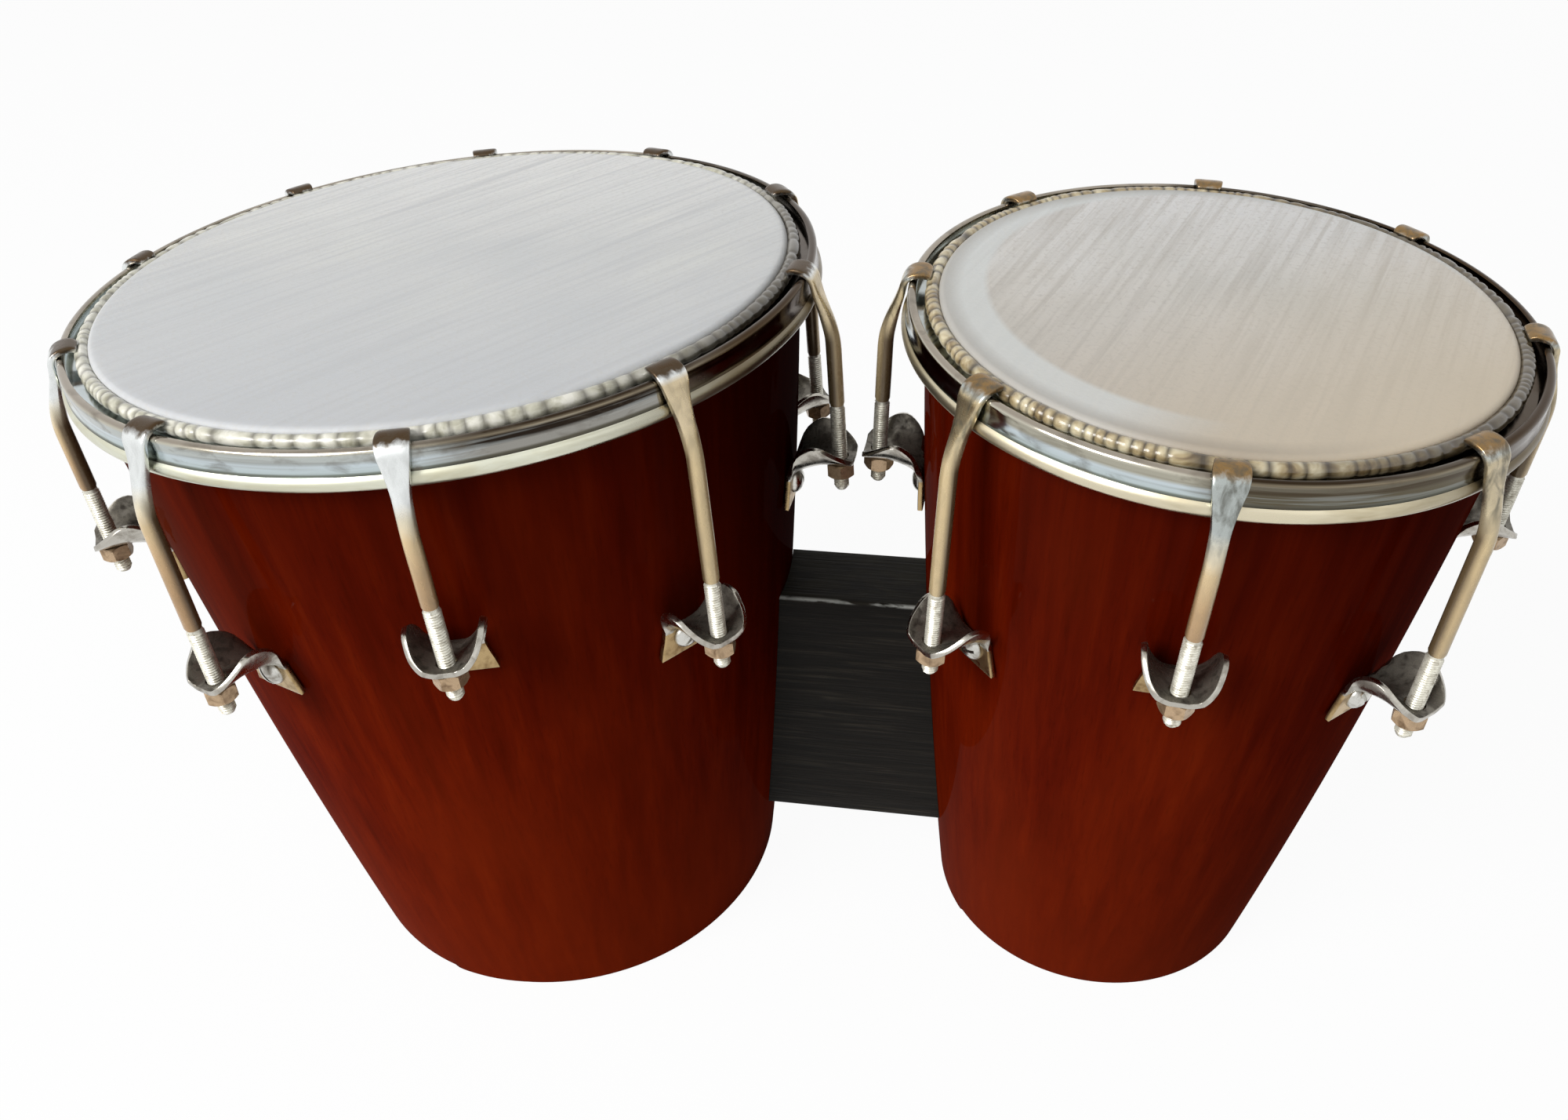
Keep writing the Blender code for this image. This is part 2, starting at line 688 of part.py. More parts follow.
def inner_wall_x(drum, height):
    """Where the shell's inner wall crosses the line between the drums at a height, along X."""
    axis = drum.side * (AXIS_SPACING / 2.0 + (height - MID_HEIGHT) * math.tan(SPLAY)) + FRAME_SHIFT
    depth = DRUM_HEIGHT - height
    return axis - drum.side * (drum.wall_radius(depth) - WALL) * drum.flat / math.cos(SPLAY)


def seat_x(drum, height):
    return inner_wall_x(drum, height) - drum.side * SPOT_FACE_DEPTH


def box_mesh(name, low, high, bevel=0.0):
    work = bmesh.new()
    bmesh.ops.create_cube(work, size=1.0)
    size = [b - a for a, b in zip(low, high)]
    middle = [(a + b) / 2.0 for a, b in zip(low, high)]
    bmesh.ops.scale(work, vec=size, verts=work.verts)
    bmesh.ops.translate(work, vec=middle, verts=work.verts)
    if bevel:
        bmesh.ops.bevel(work, geom=work.edges[:], offset=bevel, segments=1, affect="EDGES")
    mesh = bpy.data.meshes.new(name)
    work.to_mesh(mesh)
    work.free()
    return mesh


def build_block(roots, shells):
    """The centre block, hollowed to both shells, and the tie bolts with their washers and nuts."""
    reach = AXIS_SPACING / 2.0
    low = (FRAME_SHIFT - reach, -BLOCK_DEPTH / 2.0, BLOCK_FOOT)
    high = (FRAME_SHIFT + reach, BLOCK_DEPTH / 2.0, BLOCK_TOP)
    mesh = box_mesh("centre_block", low, high, BLOCK_BEVEL)
    block = place("centre_block", mesh, None, Matrix.Identity(4), "black_paint")
    for drum, root in zip(DRUMS, roots):
        cut(block, body_cutter(drum, root))

    large, small = DRUMS
    washer_points = [
        (WASHER_RADIUS, 0.0),
        (WASHER_RADIUS, WASHER_THICKNESS),
        (TIE_RADIUS + SEAT, WASHER_THICKNESS),
        (TIE_RADIUS + SEAT, 0.0),
    ]
    washer = turned_mesh("washer", washer_points, 12, True)
    nut = nut_mesh(TIE_RADIUS + SEAT, TIE_HEAD_RADIUS, TIE_NUT_HEIGHT)
    turn_back = Matrix.Rotation(math.pi, 4, "Z")
    past_washer = WASHER_THICKNESS + SEAT
    bores = []
    for label, height in zip(("lower", "upper"), tie_heights()):
        left = seat_x(large, height)
        right = seat_x(small, height)
        left_seat = Matrix.Translation((left - SEAT, 0.0, height))
        right_seat = Matrix.Translation((right + SEAT, 0.0, height)) @ turn_back
        head = left_seat @ Matrix.Translation((-past_washer, 0.0, 0.0)) @ turn_back
        tail = right_seat @ Matrix.Translation((-past_washer, 0.0, 0.0))
        length = (tail.translation - head.translation).length + TIE_NUT_HEIGHT + TIE_SPARE
        bolt = bolt_mesh(TIE_RADIUS, TIE_HEAD_RADIUS, TIE_HEAD_HEIGHT, length, 6, False)
        place("%s_large_tie_washer" % label, washer, None, left_seat, "bolt_plate")
        place("%s_small_tie_washer" % label, washer, None, right_seat, "bolt_plate")
        place("%s_tie_bolt" % label, bolt, None, head, "bolt_plate")
        place("%s_tie_nut" % label, nut, None, tail, "bolt_plate")
        bores.append((left, right, height))

    def through(work):
        for left, right, height in bores:
            frame = Matrix.Translation((0.0, 0.0, height))
            add_cylinder(work, TIE_RADIUS + RUNNING, left - BORE_SPARE, right + BORE_SPARE, frame, 12)

    def spot_faces(work):
        for left, right, height in bores:
            frame = Matrix.Translation((0.0, 0.0, height))
            wide = WASHER_RADIUS + RUNNING
            add_cylinder(work, wide, left, left - 2.0 * BORE_SPARE, frame, 16)
            add_cylinder(work, wide, right, right + 2.0 * BORE_SPARE, frame, 16)

    tie_bores = cutter_from("tie_bores", through)
    spots = cutter_from("tie_spot_faces", spot_faces)
    for piece in (block, shells[0], shells[1]):
        cut(piece, tie_bores)
    for piece in shells:
        cut(piece, spots)


clear_scene()
PARTS = bpy.data.collections.new("bongos")
CUTTERS = bpy.data.collections.new("cutters")
bpy.context.scene.collection.children.link(PARTS)
bpy.context.scene.collection.children.link(CUTTERS)
MATERIALS = {name: make_material(name) for name in COLORS}
FLOOR_REACH = AXIS_SPACING + LARGE_RADIUS
FLOOR_MESH = box_mesh("floor", (-FLOOR_REACH, -FLOOR_REACH, -0.05), (FLOOR_REACH, FLOOR_REACH, 0.0))
FLOOR = place("floor_cut", FLOOR_MESH, None, Matrix.Identity(4))
built = [build_drum(drum) for drum in DRUMS]
build_block([root for root, _ in built], [shell for _, shell in built])
bpy.context.view_layer.update()
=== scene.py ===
"""Looks of a pair of hand drums on a black centre block, set over its fixed frame.

Sizes are in metres. Each drum's pieces are shaped in the drum's own frame, where the head's centre is
the origin and +Z points up along the axis, and are then laid in their place.
"""

import math
from functools import partial

import bmesh
import bpy
from mathutils import Matrix, Vector


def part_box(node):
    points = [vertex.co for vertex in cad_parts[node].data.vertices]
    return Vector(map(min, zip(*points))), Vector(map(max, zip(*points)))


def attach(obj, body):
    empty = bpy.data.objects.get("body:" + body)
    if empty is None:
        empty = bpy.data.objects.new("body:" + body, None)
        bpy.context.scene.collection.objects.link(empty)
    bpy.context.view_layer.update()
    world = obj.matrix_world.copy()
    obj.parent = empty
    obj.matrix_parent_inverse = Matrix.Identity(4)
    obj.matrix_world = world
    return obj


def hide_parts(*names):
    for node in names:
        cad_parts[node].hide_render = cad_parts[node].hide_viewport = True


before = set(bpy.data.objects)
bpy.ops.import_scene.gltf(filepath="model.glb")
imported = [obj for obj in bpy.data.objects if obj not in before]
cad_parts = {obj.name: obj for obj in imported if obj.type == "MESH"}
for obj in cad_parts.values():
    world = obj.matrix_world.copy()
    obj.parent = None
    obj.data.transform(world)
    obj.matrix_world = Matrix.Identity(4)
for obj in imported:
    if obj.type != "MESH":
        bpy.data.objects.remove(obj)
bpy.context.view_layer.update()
scene = bpy.context.scene

MM = 0.001

# The pair.
DRUM_HEIGHT = 235.0 * MM
AXIS_SPACING = 210.6 * MM
SPLAY = math.radians(2.52)
SKEW = math.radians(1.57)
LARGE_RADIUS = 101.6 * MM
SMALL_RADIUS = 74.8 * MM
FRAME_SHIFT = (LARGE_RADIUS - SMALL_RADIUS) / 2.0
MID_HEIGHT = DRUM_HEIGHT / 2.0 * math.cos(SPLAY) * math.cos(SKEW)
HOOK_PHASE = math.radians(-3.0)

# Shell, skin and rim.
WALL = 9.0 * MM
SHELL_STEPS = 144
BELLY = 2.1 * MM
SHOULDER_FLARE = 2.6 * MM
SHOULDER_DEPTH = 15.0 * MM
NECK_INSET = 2.1 * MM
SKIN = 0.8 * MM
GATHER_REACH = 1.5 * MM
GATHER_DEPTH = 2.4 * MM
GATHER_RADIUS = 2.1 * MM
RIM_REACH = 8.3 * MM
RIM_BORE = 7.0 * MM
RIM_LIP = 5.9 * MM
RIM_TOP_DEPTH = 1.6 * MM
BEAD_DEPTH = 10.2 * MM
BEAD_RADIUS = 2.5 * MM
FLANGE_DEPTH = 4.9 * MM
FLANGE_THICKNESS = 0.9 * MM
FLANGE_BORE = 0.4 * MM

# Hooked rods, lugs and their fasteners.
ROD_REACH = 14.2 * MM
ROD_RADIUS = 2.3 * MM
EVEN_ROD_DEPTH = 27.0 * MM
SHORT_LUG_DEPTH = 60.5 * MM
LONG_LUG_DEPTH = 78.0 * MM
ROD_PAST_LUG = 11.5 * MM
THREAD_PITCH = 0.8 * MM
THREAD_LENGTH = 29.0 * MM
LUG_SHEET = 1.6 * MM
LUG_BORE = 2.75 * MM
TROUGH_ROUND = 10.2 * MM
TROUGH_FLAT = 2.4 * MM
LEG_TOP = -6.2 * MM
LUG_BOLT_DROP = 9.2 * MM
NUT_FLATS = 4.0 * MM
NUT_HEIGHT = 4.5 * MM
NUT_BORE = 2.35 * MM

# Centre block and tie bolts.
BLOCK_DEPTH = 27.0 * MM
BLOCK_TOP = 129.5 * MM
BLOCK_FOOT = 31.5 * MM
TIE_HEIGHTS = (53.5 * MM, 107.5 * MM)
TIE_FLATS = 4.85 * MM
TIE_HEAD = 4.0 * MM

# The even part of the smaller skin, in millimetres in its drum's frame.
EVEN_MIDDLE = (4.5, 4.0, 0.0)
EVEN_RADIUS = 65.6

ALONG_X = Matrix.Rotation(math.pi / 2.0, 4, "Y")
BASE = "shells_and_block"


def lifted(height):
    """A move along the axis."""
    return Matrix.Translation((0.0, 0.0, height))


class Drum:
    """The sizes and frame of one drum; side is -1 for the larger and +1 for the smaller."""

    def __init__(self, name, side, radius, foot_radius, hooks, pleats, lug_shifts):
        self.name = name
        self.side = side
        self.radius = radius
        self.foot_radius = foot_radius
        self.hooks = hooks
        self.pleats = pleats
        self.lug_shifts = lug_shifts
        self.ring = name + "_tension_ring"
        tilt = Matrix.Rotation(side * SPLAY, 4, "Y") @ Matrix.Rotation(side * SKEW, 4, "X")
        middle = Vector((side * AXIS_SPACING / 2.0 + FRAME_SHIFT, 0.0, MID_HEIGHT))
        self.frame = Matrix.Translation(middle) @ tilt @ lifted(DRUM_HEIGHT / 2.0)

    def wall(self, depth):
        """Outer radius of the shell, which bellies out a little between its ends."""
        share = (DRUM_HEIGHT - depth) / (DRUM_HEIGHT - SHOULDER_DEPTH)
        straight = self.foot_radius + (self.radius + SHOULDER_FLARE - self.foot_radius) * share
        return straight + 4.0 * BELLY * share * (1.0 - share)

    def lean(self, depth):
        """How fast the wall draws in with depth, as an angle."""
        step = 1.0 * MM
        return math.atan2(self.wall(depth) - self.wall(depth + step), step)

    def wall_outline(self, foot, out=0.0):
        """Outline of the wall from the shoulder down to the depth foot, moved out by a little."""
        depths = [SHOULDER_DEPTH + (foot - SHOULDER_DEPTH) * i / 26.0 for i in range(27)]
        return [(self.wall(depth) + out, -depth) for depth in depths]

    def station(self, index):
        """Frame of one hook: origin on the rod's axis at head level, +X outwards."""
        angle = HOOK_PHASE + math.tau * index / self.hooks
        reach = Matrix.Translation((self.radius + ROD_REACH, 0.0, 0.0))
        return self.frame @ Matrix.Rotation(angle, 4, "Z") @ reach

    def lug_depth(self, index):
        row = LONG_LUG_DEPTH if index % 2 else SHORT_LUG_DEPTH
        return row + self.lug_shifts.get(index, 0.0)


DRUMS = (
    Drum("large", -1, LARGE_RADIUS, 78.4 * MM, 10, 132, {7: -4.0 * MM}),
    Drum("small", 1, SMALL_RADIUS, 56.1 * MM, 8, 126, {5: 1.8 * MM, 7: -1.5 * MM}),
)

# Materials.


def tone(code):
    """A hex sRGB colour as a linear colour."""
    channels = [int(code[i : i + 2], 16) / 255.0 for i in (1, 3, 5)]
    linear = [c / 12.92 if c <= 0.04045 else ((c + 0.055) / 1.055) ** 2.4 for c in channels]
    return (*linear, 1.0)


def fill_in(node, inputs):
    """Set or link a node's inputs."""
    for socket, value in inputs.items():
        if isinstance(value, bpy.types.NodeSocket):
            node.id_data.links.new(value, node.inputs[socket])
        else:
            node.inputs[socket].default_value = value


def add_node(tree, kind, inputs, output=0, stops=(), **settings):
    """Add a node with its settings, inputs and ramp stops, and give back one of its outputs."""
    node = tree.nodes.new("ShaderNode" + kind)
    for key, value in settings.items():
        setattr(node, key, value)
    fill_in(node, inputs)
    for i, (place, color) in enumerate(stops):
        element = node.color_ramp.elements[i] if i < 2 else node.color_ramp.elements.new(place)
        element.position = place
        element.color = tone(color)
    return node.outputs[output]


def laid(point, own, size, turn=0.0):
    """Inputs that lay a pattern in the frame own, turned about its axis, with a unit of size millimetres."""
    lying = own @ Matrix.Rotation(math.radians(turn), 4, "Z")
    scale = [length * MM for length in size]
    return {"Vector": point, "Location": lying.translation, "Rotation": lying.to_euler(), "Scale": scale}


def begin_finish(name, own, *noises):
    """Begin a material: give back it, its node adder, a point's place and its noises.

    The place is in the frame own, in millimetres. A noise is given as its size in millimetres, detail,
    roughness and distortion, and where it's turned about the frame's axis, by how many degrees.
    """
    material = bpy.data.materials.new(name)
    material.use_nodes = True
    add = partial(add_node, material.node_tree)
    point = add("TexCoord", {}, "Object")
    patterns = []
    for size, detail, roughness, distortion, *turn in noises:
        vector = add("Mapping", laid(point, own, size, *turn), vector_type="TEXTURE")
        grain = {"Detail": detail, "Roughness": roughness, "Distortion": distortion}
        patterns.append(add("TexNoise", {"Vector": vector, "Scale": 1.0, **grain}))
    return material, add, add("Mapping", laid(point, own, (1, 1, 1)), vector_type="TEXTURE"), patterns


def between(value, low, high, to_low=0.0, to_high=1.0):
    """Inputs that carry the span from low to high over to another span."""
    return {"Value": value, "From Min": low, "From Max": high, "To Min": to_low, "To Max": to_high}


def overlaid(add, base, layers):
    """Lay tones over a base; each covers it by a share, where its first span and any further ones hold."""
    for code, share, span, *others in layers:
        cover = add("MapRange", between(*span, 0.0, share))
        for other in others:
            part = add("MapRange", between(*other))
            cover = add("Math", {0: cover, 1: part}, operation="MULTIPLY")
        base = add("Mix", {0: cover, 6: base, 7: tone(code)}, 2, data_type="RGBA")
    return base


def finished(material, inputs):
    """Fill in the material's shader."""
    fill_in(material.node_tree.nodes["Principled BSDF"], inputs)
    return material


def lacquered_mahogany(drum):
    """Turned mahogany, stained dark red and sprayed with a thin gloss lacquer.

    The grain runs along the shell under a faint clear shine. The colour is darkest under the rim, and the
    right side is painted darker, as painted shade.
    """
    # Growth bands 6 mm wide and pores 0.9 mm wide are drawn out along the axis. Clouds lie over both,
    # and the lacquer has a slight ripple.
    material, add, local, (bands, pores, clouds, ripple) = begin_finish(
        "lacquered_mahogany_" + drum.name,
        drum.frame,
        ((6, 6, 240), 4.0, 0.6, 0.3),
        ((0.9, 0.9, 30), 3.0, 0.65, 0.0),
        ((42, 42, 95), 2.0, 0.5, 0.0),
        ((9, 9, 26), 2.0, 0.5, 0.0),
    )
    across, _, height = add("SeparateXYZ", {"Vector": local}).node.outputs
    radius = drum.radius / MM
    stops = ((0.30, "#470c01"), (0.46, "#510f02"), (0.56, "#581202"), (0.72, "#621803"))
    wood = add("ValToRGB", {"Fac": bands}, stops=stops)
    # Darker over the top 90 mm and lighter towards the foot.
    layers = [
        ("#300600", 0.40, (pores, 0.54, 0.74)),
        ("#6e2007", 0.35, (clouds, 0.42, 0.70)),
        ("#2a0400", 0.5, (height, -110.0, -14.0)),
        ("#742308", 0.45, (height, -130.0, -225.0)),
    ]
    # The right side of each shell is painted darker, as painted shade.
    if drum.side > 0:
        layers.append(("#120000", 0.20, (across, 0.10 * radius, 0.55 * radius)))
    else:
        # The larger shell is painted nearly black at its upper right, as painted shade, and brown at its
        # upper left.
        right = (across, 0.70 * radius, 0.96 * radius)
        left = (across, -0.45 * radius, -0.80 * radius)
        layers.append(("#120000", 0.75, right, (height, -200.0, -100.0, 0.15, 1.0)))
        layers.append(("#3a2014", 0.75, left, (height, -125.0, -60.0)))
    finish = {
        "Base Color": overlaid(add, wood, layers),
        "Roughness": 0.42,
        "Specular IOR Level": 0.0,
        "Coat Weight": add("MapRange", between(across, -0.6 * radius, 0.5 * radius, 0.024, 0.006)),
        "Coat Roughness": 0.04,
        "Coat IOR": 1.5,
        "Normal": add("Bump", {"Height": ripple, "Distance": 0.30 * MM, "Strength": 0.5}),
    }
    return finished(material, finish)


def raw_mahogany(drum):
    """Bare turned mahogany: the inside of the shell, dry and matt, with the marks of the tool."""
    material, add, _, (grain, tool_marks) = begin_finish(
        "raw_mahogany_" + drum.name,
        drum.frame,
        ((4, 4, 120), 5.0, 0.6, 0.3),
        ((90, 90, 1.6), 1.0, 0.5, 0.0),
    )
    stops = ((0.32, "#5b2f1c"), (0.52, "#7d4a2e"), (0.70, "#96623f"))
    finish = {
        "Base Color": add("ValToRGB", {"Fac": grain}, stops=stops),
        "Roughness": 0.72,
        "Normal": add("Bump", {"Height": tool_marks, "Distance": 0.25 * MM, "Strength": 0.6}),
    }
    return finished(material, finish)


def cured_skin(drum, streak, stops, hairs, haze, turn, lean):
    """Scraped and stretched hide: a dull sheen, cloudy patches and faint hair lines along the back.

    streak gives the hair lines' width, stops the hide's own tones, hairs and haze the tones that lie
    over it, turn the hair lines' direction and lean the tones of the front edge and of the back edge,
    which are painted shade at the front and painted light at the back.
    """
    material, add, local, (lines, creases, clouds, flecks) = begin_finish(
        "cured_skin_" + drum.name,
        drum.frame,
        ((80, streak, 80), 4.0, 0.65, 0.3, turn),
        ((130, 7, 130), 1.0, 0.4, 0.4, turn),
        ((46, 46, 46), 3.0, 0.55, 0.6),
        ((1.5, 1.5, 1.5), 3.0, 0.6, 0.0),
    )
    across, depth, _ = add("SeparateXYZ", {"Vector": local}).node.outputs
    radius = drum.radius / MM
    layers = [
        # The first two tones are painted shade towards the front edge and painted light towards the back
        # edge.
        (lean[0], 0.8, (depth, 0.2 * radius, -radius)),
        (lean[1], 0.9, (depth, 0.1 * radius, radius)),
        (hairs, 0.6, (lines, 0.44, 0.68)),
        (hairs, 0.35, (creases, 0.60, 0.70)),
        (haze, 0.50, (flecks, 0.52, 0.74)),
    ]
    if drum.side > 0:
        # It turns tan towards the front right. Beside the left and front edge lies a pale crescent,
        # outside an even part, and the edge itself is handled and grey there.
        slope = add("Math", {0: across, 1: depth}, operation="SUBTRACT")
        from_even = add("VectorMath", {0: local, 1: EVEN_MIDDLE}, "Value", operation="DISTANCE")
        reach = add("VectorMath", {0: local}, "Value", operation="LENGTH")
        crescent = (from_even, EVEN_RADIUS, EVEN_RADIUS + 1.8)
        layers += [
            ("#d9c8ac", 0.65, (slope, -10.0, 100.0)),
            ("#dfe2e0", 0.70, crescent, (slope, 62.0, 30.0)),
            ("#8a8073", 0.5, (reach, radius - 6.5, radius - 1.5), (across, 0.5 * radius, 0.0)),
        ]
    finish = {
        "Base Color": overlaid(add, add("ValToRGB", {"Fac": clouds}, stops=stops), layers),
        "Roughness": 0.52,
        "Specular IOR Level": 0.4,
        "Subsurface Weight": 0.08,
        "Subsurface Radius": (0.9, 0.7, 0.5),
        "Subsurface Scale": 1.0 * MM,
        "Normal": add("Bump", {"Height": flecks, "Distance": 0.12 * MM, "Strength": 0.5}),
    }
    return finished(material, finish)


def pleated_skin(drum, dark, mid, light, shadow, shade_from, shade_to):
    """Hide that was tucked wet round its hoop: hard and glazed, with painted shade between its pleats.

    shadow says how dark the painted shade in the folds is, and the last two arguments say between which
    shares of the radius the edge is painted darker on the drum's right side, as painted shade.
    """
    name = "glazed_skin_edge_" + drum.name
    material, add, local, (patches,) = begin_finish(name, drum.frame, ((6, 6, 4), 3.0, 0.6, 0.5))
    across = add("SeparateXYZ", {"Vector": local}, "X")
    folds = add("Attribute", {}, "Fac", attribute_name="fold_depth")
    hide = add("ValToRGB", {"Fac": patches}, stops=((0.32, dark), (0.48, mid), (0.64, light)))
    radius = drum.radius / MM
    layers = (
        # The folds are painted darker, as painted shade.
        ("#2b2015", shadow, (folds, 0.10, 0.90)),
        # The drum's right side is painted darker, as painted shade.
        ("#3b3020", 0.88, (across, shade_from * radius, shade_to * radius)),
    )
    finish = {
        "Base Color": overlaid(add, hide, layers),
        "Roughness": 0.28,
        "Coat Weight": 0.5,
        "Coat Roughness": 0.12,
    }
    return finished(material, finish)


def polished_plate(name, bright, worn, roughness, spot, share, own=Matrix.Identity(4), bare=1.0, shaded_side=()):
    """Plated steel, dulled in patches; spot is the patches' size in millimetres and share their strength.

    bare is the share of metal that shows through the oxide film, and the last argument gives the two
    places across the frame own, in millimetres, between which the plate is painted darker and brown,
    as painted shade on that side, and its brown.
    """
    material, add, local, (patches, ripples) = begin_finish(
        name, own, (spot, 4.0, 0.6, 0.4), ((2, 2, 2), 2.0, 0.5, 0.0)
    )
    layers = [(worn, share, (patches, 0.46, 0.70))]
    # Towards one side the plate is painted darker and brown, as painted shade.
    if shaded_side:
        across = add("SeparateXYZ", {"Vector": local}, "X")
        layers.append((shaded_side[2], 0.85, (across, shaded_side[0], shaded_side[1])))
    finish = {
        "Base Color": overlaid(add, tone(bright), layers),
        "Metallic": bare,
        "Roughness": add("MapRange", between(patches, 0.40, 0.72, roughness, roughness + 0.22)),
        "Normal": add("Bump", {"Height": ripples, "Distance": 0.05 * MM, "Strength": 0.35}),
    }
    return finished(material, finish)


def chromed_rim(drum, upper, dull_upper, dull_lower, shade_side_from, shade_side_to, brown_shade_from):
    """Spun sheet under old chrome: pale blue where it's still bright, brown in rings where it has dulled.
    Its bands of tone down the height are a painted reflection, and its right side is painted darker and
    brown, as painted shade.

    upper is the tone of the band's upper half, dull_upper and dull_lower are those of its two halves
    where it has dulled and where painted shade lies, and the next two arguments say between which shares
    of the radius it is painted darker, as painted shade. From the share given last on it's painted brown,
    as painted shade.
    """
    material, add, local, (rings, spots) = begin_finish(
        "chromed_rim_" + drum.name, drum.frame, ((45, 45, 1.3), 3.0, 0.55, 0.2), ((12, 12, 6), 4.0, 0.6, 0.5)
    )
    across, _, height = add("SeparateXYZ", {"Vector": local}).node.outputs
    radius = drum.radius / MM
    along = add("MapRange", between(height, -8.4, -1.4))
    # Down the band the tones are a painted reflection in horizontal bands, pale blue at the middle, with a
    # dark painted line just above the bead.
    bright = (
        (0.00, "#3f423c"),
        (0.10, "#7d847c"),
        (0.17, "#bac6c7"),
        (0.44, "#c6d1d6"),
        (0.58, upper),
        (0.78, upper),
        (0.87, "#c3bfb0"),
        (0.94, "#a0978a"),
    )
    # These darker tones serve both the rings of real dulling and the painted shade on the right side.
    dulled = (
        (0.00, "#2c2a24"),
        (0.12, "#5d5a4f"),
        (0.20, dull_lower),
        (0.44, dull_lower),
        (0.58, dull_upper),
        (0.80, dull_upper),
        (0.88, "#7d7361"),
        (0.95, "#352a1e"),
    )
    bright, dulled = (add("ValToRGB", {"Fac": along}, stops=stops) for stops in (bright, dulled))
    # The right side is painted darker, as painted shade; the rings of haze are real dulling.
    right = add("MapRange", between(across, shade_side_from * radius, shade_side_to * radius, 0.05, 1.05))
    haze = add("MapRange", between(rings, 0.42, 0.62, -0.25, 0.20))
    dull = add("Math", {0: right, 1: haze}, operation="ADD", use_clamp=True)
    plate = add("Mix", {0: dull, 6: bright, 7: dulled}, 2, data_type="RGBA")
    # The spots are wear; the brown towards the right side is painted shade.
    layers = (
        ("#5a5145", 0.6, (spots, 0.54, 0.72)),
        ("#3c2b18", 0.85, (across, brown_shade_from * radius, (brown_shade_from + 0.14) * radius)),
    )
    finish = {
        "Base Color": overlaid(add, plate, layers),
        "Metallic": 1.0,
        "Roughness": add("MapRange", between(spots, 0.40, 0.72, 0.10, 0.30)),
        "Normal": add("Bump", {"Height": spots, "Distance": 0.05 * MM, "Strength": 0.3}),
    }
    return finished(material, finish)


def hook_plate(drum, bend, claw, grey, brass_from, brass_to):
    """Forged hooks under thin nickel: brown where they bend, pale on the claw, brassy on the rod.
    The bend's brown is partly rust and partly painted shade and a painted reflection of the red shell,
    and the rod's tan is partly a painted reflection of the wooden shell.

    bend and claw are the tones of the bend over the rim and of the flat claw, and grey says how far
    the claw has gone grey in spots. Between the shares brass_from and brass_to of the radius the
    claws turn brassy as well. The rods are dulled by an oxide film, and their inner side, which faces
    the shell, is painted darker, as painted shade.
    """
    name = "nickel_over_steel_hooks_" + drum.name
    material, add, local, (patches,) = begin_finish(name, drum.frame, ((2.6, 2.6, 7), 4.0, 0.6, 0.4))
    across, _, height = add("SeparateXYZ", {"Vector": local}).node.outputs
    # The height is taken away, so that a point's length is its reach from the axis.
    flat = add("VectorMath", {0: local, 1: (1.0, 1.0, 0.0)}, operation="MULTIPLY")
    reach = add("VectorMath", {0: flat}, "Value", operation="LENGTH")
    wander = add("MapRange", between(patches, 0.3, 0.7, -0.7, 0.7))
    level = add("Math", {0: height, 1: wander}, operation="ADD")
    along = add("MapRange", between(level, -46.0, 4.0))
    # Up the hook: the rod's tan is partly a painted reflection of the wooden shell, and the bend's brown is
    # partly rust and partly painted shade and reflection.
    stops = (
        (0.00, "#a88761"),
        (0.25, "#b99a72"),
        (0.46, "#ceb68d"),
        (0.57, "#dcd3bb"),
        (0.66, claw),
        (0.895, claw),
        (0.92, bend),
        (0.96, bend),
    )
    radius = drum.radius / MM
    aside = add("MapRange", between(across, brass_from * radius, brass_to * radius, 0.0, 0.85))
    if drum.side > 0:
        # The smaller drum's claws are brassy at its right end too.
        right = add("MapRange", between(across, 0.30 * radius, 0.60 * radius, 0.0, 0.7))
        aside = add("Math", {0: aside, 1: right}, operation="MAXIMUM")
    axis = (drum.radius + ROD_REACH) / MM
    layers = (
        ("#cbb68c", 1.0, (aside, 0.0, 1.0), (height, -1.0, -2.4)),
        ("#57564e", 1.0, (patches, 0.44, 0.66), (height, -20.0, -12.0, 0.15, grey)),
        # The rods' inner side, which faces the shell, is painted darker brown, as painted shade.
        ("#47351f", 0.85, (reach, axis + 1.5, axis + 0.1), (height, -15.0, -22.0)),
    )
    finish = {
        "Base Color": overlaid(add, add("ValToRGB", {"Fac": along}, stops=stops), layers),
        "Metallic": add("MapRange", between(height, -12.0, -20.0, 0.9, 0.25)),
        "Roughness": add("MapRange", between(patches, 0.35, 0.75, 0.20, 0.42)),
    }
    return finished(material, finish)


